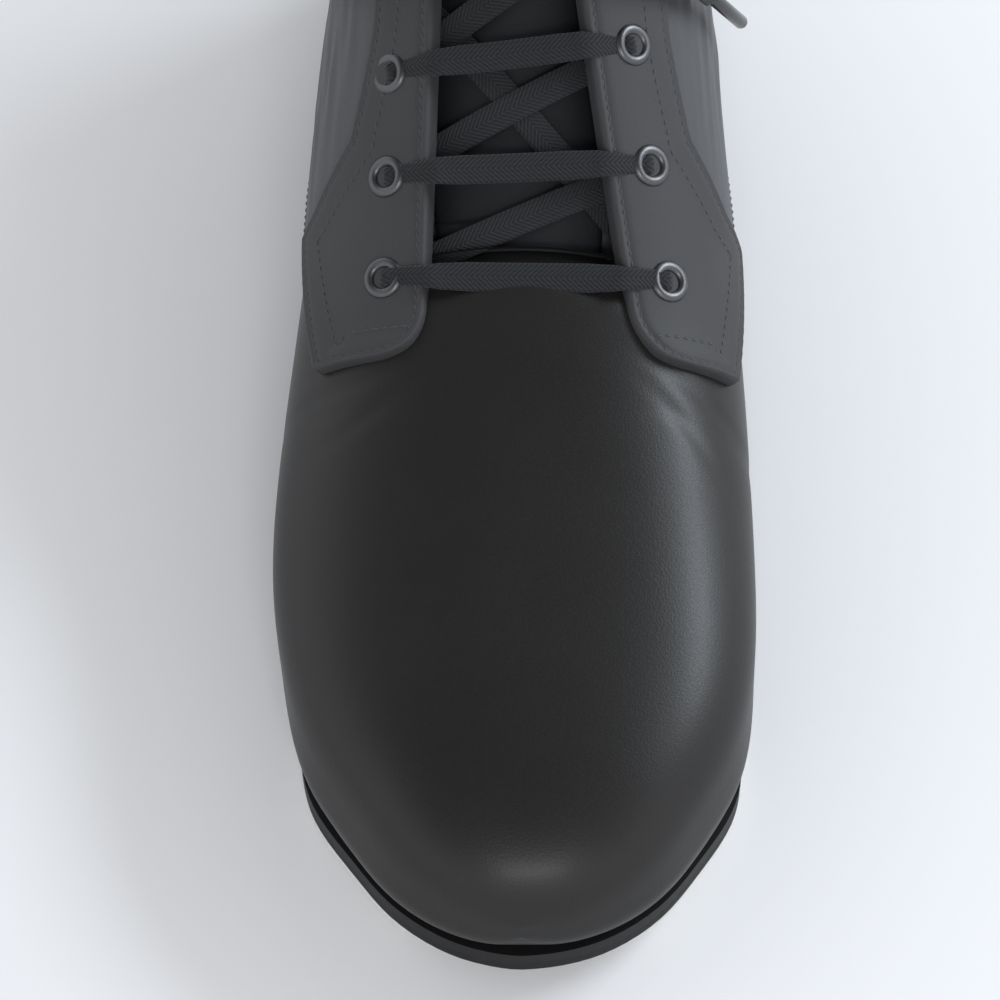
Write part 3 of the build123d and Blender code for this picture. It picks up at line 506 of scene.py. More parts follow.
def stitch_mesh(name: str, last: Last, rows: list[tuple[Array, Array]], stitch: Stitch) -> bpy.types.Object:
    """Rows of stitches as small rounded beads.

    Args:
        name: name of the object.
        last: gives the shared frame.
        rows: for each row, its line's points and the outward normals there.
        stitch: size of a stitch.

    Returns:
        One object with every stitch.
    """
    sides, rings = 6, 5
    turn = np.arange(sides) * 2 * math.pi / sides
    along = np.array([-1.0, -0.75, 0.0, 0.75, 1.0])
    girth = np.array([0.25, 0.85, 1.0, 0.85, 0.25])
    points, faces = [], []
    for line, normals in rows:
        spots, way = resampled(line, stitch.pitch)
        index = [int(np.argmin(np.linalg.norm(line - s, axis=1))) for s in spots]
        up = normals[index]
        across = np.cross(way, up)
        for spot, w, u, x in zip(spots, way, up, across):
            first = len(points)
            for a, g in zip(along, girth):
                middle = spot + w * (a * stitch.length / 2) - u * stitch.sink * abs(a) * 3
                for angle in turn:
                    points.append(middle + (x * math.cos(angle) + u * math.sin(angle)) * g * stitch.radius)
            for r in range(rings - 1):
                for s in range(sides):
                    o, e = first + r * sides, (s + 1) % sides
                    faces.append((o + s, o + e, o + sides + e, o + sides + s))
            faces.append(tuple(first + s for s in range(sides))[::-1])
            faces.append(tuple(first + (rings - 1) * sides + s for s in range(sides)))
    return make_object(name, last.world(np.array(points)), faces)


def ribbon_mesh(name: str, last: Last, line: Array, ups: Array, width: Array, thickness: Array) -> bpy.types.Object:
    """A flat woven lace along a line.

    Args:
        name: name of the object.
        last: gives the shared frame.
        line: the middle of the lace, in the last's frame.
        ups: direction of the lace's face at each point.
        width: width at each point.
        thickness: thickness at each point.

    Returns:
        The lace's object, with texture coordinates along and across it in millimetres.
    """
    way = np.gradient(line, axis=0)
    way /= np.linalg.norm(way, axis=1, keepdims=True)
    ups = ups - way * np.sum(ups * way, axis=1, keepdims=True)
    ups /= np.linalg.norm(ups, axis=1, keepdims=True)
    across = np.cross(way, ups)
    lengths = np.concatenate([[0], np.cumsum(np.linalg.norm(np.diff(line, axis=0), axis=1))])
    section = 20
    angle = np.arange(section) * 2 * math.pi / section
    flat = np.sign(np.cos(angle)) * np.abs(np.cos(angle)) ** 0.45
    high = np.sign(np.sin(angle)) * np.abs(np.sin(angle)) ** 0.75
    points = (
        line[:, None]
        + across[:, None] * (flat[None, :, None] * width[:, None, None] / 2)
        + ups[:, None] * (high[None, :, None] * thickness[:, None, None] / 2)
    ).reshape(-1, 3)
    uv = np.stack(
        [np.repeat(lengths, section), np.tile(flat, len(line)) * np.repeat(width, section) / 2], axis=1
    )
    faces = []
    for r in range(len(line) - 1):
        for s in range(section):
            o, e = r * section, (s + 1) % section
            faces.append((o + s, o + section + s, o + section + e, o + e))
    faces.append(tuple(range(section)))
    faces.append(tuple(range((len(line) - 1) * section, len(line) * section))[::-1])
    return make_object(name, last.world(points), faces, uv)


def joined(name: str, objects: Sequence[bpy.types.Object]) -> bpy.types.Object:
    """Several mesh objects as one."""
    with bpy.context.temp_override(
        active_object=objects[0], selected_editable_objects=list(objects), selected_objects=list(objects)
    ):
        bpy.ops.object.join()
    objects[0].name = name
    objects[0].data.name = name
    return objects[0]


# ---- finishes -------------------------------------------------------------------------------------
class Value:
    """A shader output that takes part in sums like a number or a vector."""

    def __init__(self, graph: "Graph", socket: bpy.types.NodeSocket) -> None:
        self.graph, self.socket = graph, socket

    def _with(self, operation: str, other: "Value | float", swap: bool = False) -> "Value":
        first, second = (other, self) if swap else (self, other)
        return self.graph.math(operation, first, second)

    def __add__(self, other: "Value | float") -> "Value":
        return self._with("ADD", other)

    def __radd__(self, other: float) -> "Value":
        return self._with("ADD", other, swap=True)

    def __sub__(self, other: "Value | float") -> "Value":
        return self._with("SUBTRACT", other)

    def __rsub__(self, other: float) -> "Value":
        return self._with("SUBTRACT", other, swap=True)

    def __mul__(self, other: "Value | float") -> "Value":
        return self._with("MULTIPLY", other)

    def __rmul__(self, other: float) -> "Value":
        return self._with("MULTIPLY", other, swap=True)

    def __truediv__(self, other: "Value | float") -> "Value":
        return self._with("DIVIDE", other)

    def __rtruediv__(self, other: float) -> "Value":
        return self._with("DIVIDE", other, swap=True)

    def __abs__(self) -> "Value":
        return self.graph.math("ABSOLUTE", self)

    def sine(self) -> "Value":
        """The sine of the value."""
        return self.graph.math("SINE", self)


class Graph:
    """Builds the nodes of one material."""

    def __init__(self, name: str) -> None:
        self.material = bpy.data.materials.new(name)
        self.material.use_nodes = True
        self.tree = self.material.node_tree
        self.tree.nodes.clear()
        self.shader = self.node("ShaderNodeBsdfPrincipled")
        output = self.node("ShaderNodeOutputMaterial")
        self.tree.links.new(self.shader.outputs[0], output.inputs[0])

    def node(self, kind: str, inputs: dict | None = None, **settings: object) -> bpy.types.Node:
        """Add a node.

        Args:
            kind: the node's type.
            inputs: values or shader outputs for its sockets, by name or number.
            settings: the node's own properties.

        Returns:
            The new node.
        """
        made = self.tree.nodes.new(kind)
        for key, setting in settings.items():
            setattr(made, key, setting)
        for key, value in (inputs or {}).items():
            if isinstance(value, Value):
                self.tree.links.new(value.socket, made.inputs[key])
            else:
                made.inputs[key].default_value = value
        return made

    def math(self, operation: str, first: "Value | float", second: "Value | float" = 0.0) -> Value:
        """A sum of two values."""
        node = self.node("ShaderNodeMath", {0: first, 1: second}, operation=operation)
        return Value(self, node.outputs[0])

    def colour(self, first: tuple, second: tuple, factor: "Value | float") -> Value:
        """A colour between two colours."""
        node = self.node("ShaderNodeMix", {0: factor, 6: (*first, 1.0), 7: (*second, 1.0)}, data_type="RGBA")
        return Value(self, node.outputs[2])

    def place(self) -> Value:
        """Coordinates in the shared frame, metres."""
        return Value(self, self.node("ShaderNodeTexCoord").outputs["Object"])

    def stretched(self, place: Value, scale: tuple[float, float, float]) -> Value:
        """Coordinates multiplied by a scale along each axis."""
        node = self.node("ShaderNodeVectorMath", {0: place, 1: scale}, operation="MULTIPLY")
        return Value(self, node.outputs[0])

    def noise(self, place: Value, size: float, detail: float = 2.0) -> Value:
        """Soft noise with features of a size in millimetres."""
        node = self.node("ShaderNodeTexNoise", {"Vector": place, "Scale": 1 / (size * MM), "Detail": detail})
        return Value(self, node.outputs["Fac"])

    def cells(self, place: Value, size: float) -> Value:
        """Distance from the middle of irregular cells of a size in millimetres."""
        node = self.node("ShaderNodeTexVoronoi", {"Vector": place, "Scale": 1 / (size * MM)}, feature="F1")
        return Value(self, node.outputs["Distance"])

    def woven(self) -> tuple[Value, Value]:
        """Millimetres along and across a lace."""
        node = self.node("ShaderNodeUVMap", uv_map="weave")
        parts = self.node("ShaderNodeSeparateXYZ", {0: Value(self, node.outputs[0])})
        return Value(self, parts.outputs[0]), Value(self, parts.outputs[1])

    def surface(self, **inputs: "Value | float | tuple") -> None:
        """Set inputs of the material's surface; underscores stand for spaces."""
        for key, value in inputs.items():
            socket = self.shader.inputs[key.replace("_", " ")]
            if isinstance(value, Value):
                self.tree.links.new(value.socket, socket)
            else:
                socket.default_value = (*value, 1.0) if isinstance(value, tuple) and len(value) == 3 else value

    def bump(self, height: Value, depth: float) -> None:
        """Relief of a depth in millimetres on the surface."""
        node = self.node("ShaderNodeBump", {"Height": height, "Distance": depth * MM, "Strength": 1.0})
        self.surface(Normal=Value(self, node.outputs[0]))


@dataclass(frozen=True)
class Leather:
    """Coated leather with a fine grain."""

    dark: tuple[float, float, float]
    light: tuple[float, float, float]
    roughness: float
    coat: float
    grain: float
    depth: float
    shine: float

    def material(self, name: str) -> bpy.types.Material:
        """The finish as a material."""
        g = Graph(name)
        place = g.place()
        cells, fine, patches = g.cells(place, self.grain), g.noise(place, self.grain * 0.45), g.noise(place, 38.0, 3.0)
        g.surface(
            Base_Color=g.colour(self.dark, self.light, patches * 0.7 + cells * 0.3),
            Roughness=self.roughness + (patches - 0.5) * 0.12 + (cells - 0.4) * 0.06,
            Coat_Weight=self.coat,
            Coat_Roughness=0.22,
            Specular_IOR_Level=self.shine,
        )
        g.bump(cells * 0.65 + fine * 0.5, self.depth)
        return g.material


@dataclass(frozen=True)
class Weave:
    """Flat lace woven in a herringbone."""

    dark: tuple[float, float, float]
    light: tuple[float, float, float]
    rib: float
    depth: float

    def material(self, name: str) -> bpy.types.Material:
        """The finish as a material."""
        g = Graph(name)
        along, across = g.woven()
        ribs = ((along - abs(across) * 1.1) * (2 * math.pi / self.rib)).sine() * 0.5 + 0.5
        wales = (across * (2 * math.pi / 1.05)).sine() * 0.5 + 0.5
        fuzz = g.noise(g.place(), 0.3)
        thread = ribs * 0.7 + wales * 0.2 + fuzz * 0.3
        g.surface(
            Base_Color=g.colour(self.dark, self.light, thread),
            Roughness=0.86,
            Specular_IOR_Level=0.25,
            Sheen_Weight=0.1,
            Sheen_Roughness=0.5,
        )
        g.bump(thread, self.depth)
        return g.material


@dataclass(frozen=True)
class Cloth:
    """Knitted or brushed cloth, foam and board."""

    dark: tuple[float, float, float]
    light: tuple[float, float, float]
    thread: float
    depth: float

    def material(self, name: str) -> bpy.types.Material:
        """The finish as a material."""
        g = Graph(name)
        place = g.place()
        loops = g.cells(g.stretched(place, (1.0, 0.7, 1.0)), self.thread)
        soft = g.noise(place, self.thread * 6)
        g.surface(
            Base_Color=g.colour(self.dark, self.light, loops * 0.6 + soft * 0.4), Roughness=0.92, Sheen_Weight=0.2
        )
        g.bump(loops, self.depth)
        return g.material


@dataclass(frozen=True)
class Metal:
    """Plated or brushed metal."""

    colour: tuple[float, float, float]
    roughness: float

    def material(self, name: str) -> bpy.types.Material:
        """The finish as a material."""
        g = Graph(name)
        wear = g.noise(g.place(), 0.9, 3.0)
        g.surface(Base_Color=self.colour, Metallic=1.0, Roughness=self.roughness + (wear - 0.5) * 0.14)
        g.bump(wear, 0.01)
        return g.material


@dataclass(frozen=True)
class Plastic:
    """Rubber, moulded plastic and thread."""

    dark: tuple[float, float, float]
    light: tuple[float, float, float]
    roughness: float
    coat: float = 0.0
    shine: float = 0.5

    def material(self, name: str) -> bpy.types.Material:
        """The finish as a material."""
        g = Graph(name)
        speck = g.noise(g.place(), 1.4, 3.0)
        g.surface(
            Base_Color=g.colour(self.dark, self.light, speck),
            Roughness=self.roughness + (speck - 0.5) * 0.1,
            Coat_Weight=self.coat,
            Specular_IOR_Level=self.shine,
        )
        g.bump(speck, 0.03)
        return g.material


Finish = Leather | Weave | Cloth | Metal | Plastic
FINISHES: dict[str, Finish] = {
    "vamp_leather": Leather((0.0085, 0.0078, 0.0075), (0.0150, 0.0140, 0.0136), 0.40, 0.05, 0.55, 0.030, 0.30),
    "facing_leather": Leather((0.036, 0.036, 0.038), (0.054, 0.054, 0.057), 0.55, 0.0, 0.50, 0.04, 0.25),
    "quarter_leather": Leather((0.046, 0.047, 0.050), (0.072, 0.073, 0.077), 0.52, 0.03, 0.60, 0.05, 0.30),
    "tongue_leather": Leather((0.0090, 0.0100, 0.0120), (0.0160, 0.0175, 0.0200), 0.52, 0.0, 0.50, 0.04, 0.22),
    "lining": Cloth((0.060, 0.060, 0.066), (0.110, 0.110, 0.120), 0.8, 0.12),
    "interlining": Cloth((0.60, 0.59, 0.56), (0.72, 0.70, 0.66), 0.6, 0.05),
    "stiffener": Plastic((0.60, 0.57, 0.50), (0.70, 0.67, 0.60), 0.6),
    "foam": Cloth((0.10, 0.10, 0.11), (0.18, 0.18, 0.19), 0.9, 0.2),
    "footbed": Cloth((0.045, 0.045, 0.050), (0.085, 0.085, 0.095), 0.7, 0.1),
    "insole_board": Cloth((0.36, 0.26, 0.16), (0.46, 0.35, 0.22), 0.5, 0.04),
    "cork": Cloth((0.24, 0.14, 0.07), (0.42, 0.28, 0.15), 2.0, 0.15),
    "shank_steel": Metal((0.55, 0.56, 0.58), 0.35),
    "sole_board": Plastic((0.006, 0.006, 0.0065), (0.010, 0.010, 0.011), 0.55, shine=0.2),
    "rubber_sole": Plastic((0.006, 0.006, 0.0065), (0.010, 0.010, 0.011), 0.6, shine=0.2),
    "slide_microfibre": Cloth((0.50, 0.50, 0.47), (0.62, 0.62, 0.59), 0.5, 0.1),
    "nail_steel": Metal((0.62, 0.62, 0.62), 0.3),
    "eyelet_metal": Metal((0.100, 0.100, 0.104), 0.36),
    "lace_cord": Weave((0.007, 0.0072, 0.0082), (0.026, 0.0265, 0.030), 1.15, 0.16),
    "aglet_plastic": Plastic((0.008, 0.008, 0.009), (0.012, 0.012, 0.013), 0.25, 0.4),
}
THREAD = Plastic((0.035, 0.035, 0.038), (0.060, 0.060, 0.064), 0.7)


class Wardrobe:
    """Hands out one material for each of the record's slots."""

    def __init__(self) -> None:
        self.made: dict[str, bpy.types.Material] = {}
        self.thread = THREAD.material("thread")

    def of(self, slot: str) -> bpy.types.Material:
        """The material of a slot."""
        if slot not in self.made:
            self.made[slot] = FINISHES[slot].material(slot)
        return self.made[slot]

    def dress(self, obj: bpy.types.Object, slot: str, thread: bool = False) -> None:
        """Give an object the material of a slot, or thread in that slot's place."""
        obj.data.materials.clear()
        obj.data.materials.append(self.thread if thread else self.of(slot))

    def dress_frame(self) -> None:
        """Give every CAD node the finish of its slot."""
        for part in frame["record"]["subparts"]:
            self.dress(frame["nodes"][part["node"]], part["material_slot"])


# ---- upper ----------------------------------------------------------------------------------------
class Side(Enum):
    """The two sides of the shoe."""

    MEDIAL = 1
    LATERAL = -1

    @property
    def label(self) -> str:
        """The side's name in node names."""
        return self.name.lower()


def throat_edge(distance: float, side: Side) -> float:
    """X of the facing's edge at a distance from the toe."""
    share = (distance - THROAT[0]) / (THROAT[1] - THROAT[0])
    middle = THROAT_MIDDLE[0] + share * (THROAT_MIDDLE[1] - THROAT_MIDDLE[0])
    return middle + side.value * (THROAT_HALF[0] + share * (THROAT_HALF[1] - THROAT_HALF[0]))


def throat_point(distance: float, side: Side) -> tuple[float, float]:
    """Plan position of the facing's edge at a distance from the toe."""
    return throat_edge(distance, side), distance - UPPER_LENGTH / 2


@dataclass(frozen=True)
class Wrinkles:
    """Soft folds along a padded panel."""

    depths: tuple[float, ...] = (0.75, 0.5, 0.28)
    lengths: tuple[float, ...] = (19.0, 11.0, 6.5)
    wander: float = 2.4

    def height(self, t: Array, turn: Array, rng: np.random.Generator) -> Array:
        """Height of the folds at places on the last."""
        total = np.zeros(len(t))
        for depth, length in zip(self.depths, self.lengths):
            phase = rng.uniform(0, 2 * math.pi, 4)
            drift = self.wander * np.sin(t / 33 + phase[0]) + 0.8 * np.sin(t / 13 + phase[1])
            wave = np.sin(turn * 62 * 2 * math.pi / length + drift + phase[2])
            fade = 0.62 + 0.38 * np.sin(t / 21 + phase[3] + turn * 2)
            total += depth * fade * (1 - np.abs(wave) ** 1.4)
        return total


class Dresser:
    """What every sub-assembly's dressing method needs."""

    def __init__(self, last: Last, wardrobe: Wardrobe) -> None:
        self.last, self.wardrobe = last, wardrobe
        self.rng = np.random.default_rng(SEED)

    def finish(self, obj: bpy.types.Object, slot: str, body: str, replaces: Sequence[str] = (), thread: bool = False) -> None:
        """Give a piece its finish, hang it from its body's empty and hide the CAD parts it replaces."""
        self.wardrobe.dress(obj, slot, thread)
        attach(obj, body)
        if replaces:
            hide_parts(*replaces)
        log.info("%s: %d faces", obj.name, len(obj.data.polygons))

    def sew(self, panel: Panel, rows: list[tuple[str, float, Callable | None]]) -> list[tuple]:
        """Lines of a built panel that carry stitches."""
        found = []
        for field, level, guard in rows:
            for chain in panel.lines(field, level, guard):
                found.append((panel.points[chain], panel.normals[chain]))
        return found


@dataclass
class Vamp:
    """The plain front of the shoe."""

    edge: float = 1.3
    step: float = 1.35
    low_turn: float = -1.2
    wrapped: float = 16.0
    crease_depth: float = 0.28
    dip_start: float = 129.5
    dip_length: float = 12.5
    dip_depth: float = 6.0
    toe_fullness: float = 2.3
    fullness_end: float = 34.0
    fullness_fade: float = 34.0

    def creases(self, panel: Panel) -> Array:
        """Shallow flexing creases behind the ball, fanning out from the throat's corners."""
        p = panel.base()
        total = np.zeros(len(p))
        for side in Side:
            x0, y0 = throat_point(THROAT[0] - 4, side)
            for k, lean in enumerate((0.05, 0.42, -0.3)):
                run = np.array([side.value * math.cos(lean), -math.sin(lean) - 0.25])
                off = p[:, :2] - (x0 + side.value * 3, y0 - 3 - 5.5 * k)
                along, away = off @ run, off @ np.array([-run[1], run[0]])
                away = away + 0.006 * along**2
                here = np.exp(-((away / 2.3) ** 2)) * np.exp(-(((along - 14) / 13) ** 2))
                total -= self.crease_depth * here / (1 + 0.5 * k)
        return total

    def dip(self, panel: Panel) -> Array:
        """How far the vamp runs down towards the tongue between the facings."""
        x, y, _ = panel.base().T
        distance = y + UPPER_LENGTH / 2
        inside = np.minimum(x - throat_edge(distance, Side.LATERAL), throat_edge(distance, Side.MEDIAL) - x)
        share = np.clip((distance - self.dip_start) / self.dip_length, 0, 1)
        return self.dip_depth * share**2 * np.clip(1 + inside / 3.0, 0, 1)

    def fullness(self, panel: Panel) -> Array:
        """How far the toe bulges out over the sole's edge."""
        _, y, z = panel.base().T
        low = np.exp(-(((z - 19.0) / 7.0) ** 2))
        behind = np.clip((y + UPPER_LENGTH / 2 - self.fullness_end) / self.fullness_fade, 0, 1)
        return self.toe_fullness * low * (1 - behind**2 * (3 - 2 * behind))

    def build(self, d: Dresser) -> None:
        """Make the vamp."""
        last = d.last
        ends = 0.0, float(last.at_distance(250.0))
        panel = Panel(last, ends, (-math.pi / 2, math.pi * 3 / 2), self.step)
        t, turn = panel.uv.T
        above = np.minimum(turn - self.low_turn, math.pi - self.low_turn - turn) * 30
        panel.fields["under"] = np.maximum(above, self.wrapped - last.sizes(t)[:, 0])
        panel.trim("under")
        back = ((VAMP_BACK, FAR), (VAMP_BACK, 60.0), (162.0, 48.5), (238.0, 31.0), (252.0, -40.0))
        panel.fields["edge"] = -panel.side_field(back, keep_left=True)
        for level in edge_levels(self.edge):
            panel.split("edge", level)
        panel.trim("edge")
        height = rolled(panel.fields["edge"], self.edge, LEATHER) - LEATHER + self.creases(panel)
        height = height + self.fullness(panel) - self.dip(panel)
        obj = panel.build("vamp_skin", height, LINING_DEPTH - 1.0)
        d.finish(obj, "vamp_leather", "shoe", ["vamp", "vamp_interlining", "toe_puff"])


@dataclass
class Facings:
    """The two stiff flaps that carry the eyelets, sewn over vamp and quarters."""

    edge: float = 1.1
    step: float = 1.2
    throat_radius: float = 12.0
    seam_radius: float = 5.0
    thickness: float = 1.9
    lift: float = 1.3
    stitch_inset: float = 2.2
    second_row: float = 7.6
    mesh_end: float = 234.0

    def height(self, panel: Panel) -> Array:
        """Height of the facing's face over the last."""
        f = panel.fields
        over_quarter = self.lift * np.exp(-((np.maximum(f["seam"], 0) / 6.5) ** 2)) * (panel.base()[:, 2] > 44.0)
        pulled = -0.35 * np.exp(-(((f["edge"] - self.stitch_inset) / 0.7) ** 2))
        return rolled(f["edge"], self.edge, self.thickness) * (1 + over_quarter / self.thickness) + pulled

    def build(self, d: Dresser) -> None:
        """Make both facings with their stitching."""
        last, rows = d.last, []
        for side in Side:
            turns = (0.05, math.pi / 2 + 0.45) if side is Side.MEDIAL else (math.pi / 2 - 0.45, math.pi - 0.05)
            ends = float(last.at_distance(FACING_FRONT - 6)), float(last.at_distance(self.mesh_end))
            panel = Panel(last, ends, turns, self.step)
            front = panel.side_field(((FACING_FRONT, FAR), (FACING_FRONT, -FAR)), keep_left=True)
            seam = panel.side_field(SEAM if side is Side.MEDIAL else LATERAL_SEAM, keep_left=True)
            a, b = throat_point(FACING_FRONT, side), throat_point(THROAT[1], side)
            throat = panel.plan_field(b, a) if side is Side.MEDIAL else panel.plan_field(a, b)
            top = panel.side_field((FACING_TOP, *TOP_LINE[:3]), keep_left=False)
            field = rounded_min(rounded_min(front, throat, self.throat_radius), seam, self.seam_radius)
            panel.fields.update(edge=rounded_min(field, top, 4.0), seam=seam)
            panel.trim("edge", 0.0)
            for level in (*edge_levels(self.edge), self.stitch_inset - 0.6, self.stitch_inset, self.stitch_inset + 0.6):
                panel.split("edge", level)
            panel.split("seam", self.second_row)
            obj = panel.build(f"facing_{side.label}_skin", self.height(panel), LINING_DEPTH - 0.4)
            d.finish(obj, "facing_leather", "shoe", [f"facing_{side.label}", f"facing_backing_{side.label}"])
            inside = lambda f: f["edge"] > self.stitch_inset + 0.05
            rows += d.sew(panel, [("edge", self.stitch_inset, None), ("seam", self.second_row, inside)])
        obj = stitch_mesh("facing_stitches", last, rows, Stitch())
        d.finish(obj, "facing_leather", "shoe", thread=True)


@dataclass
class Quarters:
    """The padded sides of the shoe."""

    edge: float = 1.2
    step: float = 1.3
    low_turn: float = -1.2
    underlap: float = 4.5
    puff: float = 2.1
    puff_reach: float = 13.0
    stitch_inset: float = 2.4
    wrinkles: Wrinkles = Wrinkles()

    def build(self, d: Dresser) -> None:
        """Make both quarters with the stitching along their lower edges."""
        last, rows = d.last, []
        for side in Side:
            low, high = self.low_turn, math.pi / 2 - 0.08
            turns = (low, high) if side is Side.MEDIAL else (math.pi - high, math.pi - low)
            panel = Panel(last, (float(last.at_distance(138.0)), last.end), turns, self.step)
            seam = panel.side_field(SEAM, keep_left=False)
            lower = panel.side_field(QUARTER_LOWER, keep_left=True)
            top = panel.side_field((FACING_TOP, *TOP_LINE), keep_left=False)
            panel.fields.update(seam=seam + self.underlap, edge=lower, top=top)
            for name in ("edge", "top", "seam"):
                panel.trim(name)
            for level in (*edge_levels(self.edge), self.stitch_inset):
                panel.split("edge", level)
            f = panel.fields
            t, turn = panel.uv.T
            inner = np.clip(f["seam"] - self.underlap, 0, None)
            soft = (1 - np.exp(-inner / self.puff_reach)) * (1 - np.exp(-np.clip(f["edge"], 0, None) / self.puff_reach))
            collar = np.exp(-((f["top"] - 11) / 12) ** 2)
            folds = self.wrinkles.height(t, turn, d.rng)
            heel = np.clip((last.end - t) / 40, 0, 1)
            under = np.clip(1 - (f["seam"] / self.underlap), 0, 1) * 0.9
            height = rolled(f["edge"], self.edge, LEATHER) - under
            height = height + soft * heel * (self.puff * (0.45 + 0.9 * collar) + folds - 0.5)
            obj = panel.build(f"quarter_{side.label}_skin", height, 0.6)
            hidden = ["heel_counter"] if side is Side.LATERAL else []
            names = [f"quarter_{side.label}", f"quarter_padding_{side.label}", *hidden]
            d.finish(obj, "quarter_leather", "shoe", names)
            rows += d.sew(panel, [("edge", self.stitch_inset, lambda g: g["seam"] > self.underlap + 3)])
        d.finish(stitch_mesh("quarter_stitches", last, rows, Stitch()), "quarter_leather", "shoe", thread=True)


@dataclass
class Collar:
    """The rolled binding round the mouth of the shoe, and the strip up the back seam."""

    half_width: float = 3.3
    half_height: float = 3.1
    step: float = 1.2
    strap_half: float = 9.0
    strap_low: float = 22.0
    strap_high: float = 91.0

    def line(self, last: Last) -> Array:
        """The middle of the binding from one facing round the heel to the other."""
        pattern = smooth_line([(a, b, 0.0) for a, b in TOP_LINE[:5]], 2.0)[:, :2]
        t = last.at_distance(np.clip(pattern[:, 0], 0, 293.9))
        sides = []
        for side in Side:
            turn = last.level_turn(t, pattern[:, 1], side.value)
            sides.append(last.point(t, turn, grow=-0.9))
        heel = np.array([0.0, UPPER_LENGTH / 2 - 0.9, pattern[-1, 1]])
        near = sides[0][:-2], sides[1][:-2]
        return smooth_line(np.vstack([near[0][::3], heel, near[1][::-1][::3]]), self.step)

    def build(self, d: Dresser) -> None:
        """Make the binding and the back strip."""
        last, line = d.last, self.line(d.last)
        ups = np.tile([0.0, 0.0, 1.0], (len(line), 1))
        size = np.ones(len(line))
        obj = ribbon_mesh("collar_roll", last, line, ups, size * 2 * self.half_width, size * 2 * self.half_height)
        d.finish(obj, "quarter_leather", "shoe", ["collar_binding"])
        panel = Panel(last, (float(last.at_distance(284.0)), last.end), (0.02, math.pi - 0.02), 0.8)
        x, _, z = panel.base().T
        field = rounded_min(self.strap_half - np.abs(x), z - self.strap_low, 2.5)
        panel.fields["edge"] = rounded_min(field, self.strap_high - z, 2.5)
        panel.trim("edge")
        for level in (*edge_levels(1.0), 2.2):
            panel.split("edge", level)
        height = LEATHER + rolled(panel.fields["edge"], 1.0, 1.3)
        obj = panel.build("backstay_skin", height, 1.0)
        d.finish(obj, "facing_leather", "shoe", ["backstay"])
        rows = d.sew(panel, [("edge", 2.2, None)])
        d.finish(stitch_mesh("backstay_stitches", last, rows, Stitch()), "facing_leather", "shoe", thread=True)


@dataclass
class Tongue:
    """The padded tongue under the lace."""

    face: float = -7.1
    root: float = 137.0
    top: float = 229.0
    root_middle: float = 0.6
    top_middle: float = -4.6
    low_half: float = 20.0
    high_half: float = 31.0
    depth: float = 4.6
    puff: float = 0.8
    seam_middle: float = 152.5
    seam_lean: float = 0.30
    seam_bow: float = 0.012
    seam_step: float = 0.9

    def build(self, d: Dresser) -> None:
        """Make the tongue."""
        last = d.last
        ends = float(last.at_distance(self.root - 4)), float(last.at_distance(self.top + 5))
        panel = Panel(last, ends, (0.35, math.pi - 0.35), 1.4)
        half = UPPER_LENGTH / 2
        low, high, shoulder = self.root - half, self.top - half, self.top - 26 - half
        right = [(self.root_middle + self.low_half, low), (self.top_middle + self.high_half, shoulder)]
        left = [(self.root_middle - self.low_half, low), (self.top_middle - self.high_half, shoulder)]
        medial = np.minimum(panel.plan_field(*right), panel.plan_field(right[1], (right[1][0], high + 9)))
        lateral = np.minimum(panel.plan_field(*left[::-1]), panel.plan_field((left[1][0], high + 9), left[1]))
        end = panel.plan_field((50.0, high), (-50.0, high))
        y = panel.base()[:, 1]
        field = rounded_min(np.minimum(medial, lateral), end, 12.0)
        x = panel.base()[:, 0]
        seam = self.seam_middle - half + self.seam_lean * x + self.seam_bow * x**2 - y
        panel.fields.update(edge=field, root=y - low, seam=seam)
        panel.trim("edge")
        panel.trim("root")
        for level in (-0.5, 0.0, 1.0, 2.4):
            panel.split("seam", level)
        for level in edge_levels(2.0):
            panel.split("edge", level)
        soft = self.puff * (1 - np.exp(-np.clip(panel.fields["edge"], 0, None) / 7))
        height = rolled(panel.fields["edge"], 2.0, 1.2) - 1.9 + soft
        height = height + self.seam_step * (np.clip(panel.fields["seam"] / 0.5 + 1, 0, 1) - 1)
        obj = panel.build("tongue_skin", height, self.depth - 1.2, base=self.face)
        d.finish(obj, "tongue_leather", "tongue", ["tongue", "tongue_foam"])
        rows = d.sew(panel, [("seam", 2.4, lambda f: f["edge"] > 2.5)])
        d.finish(stitch_mesh("tongue_stitches", last, rows, Stitch()), "tongue_leather", "tongue", thread=True)


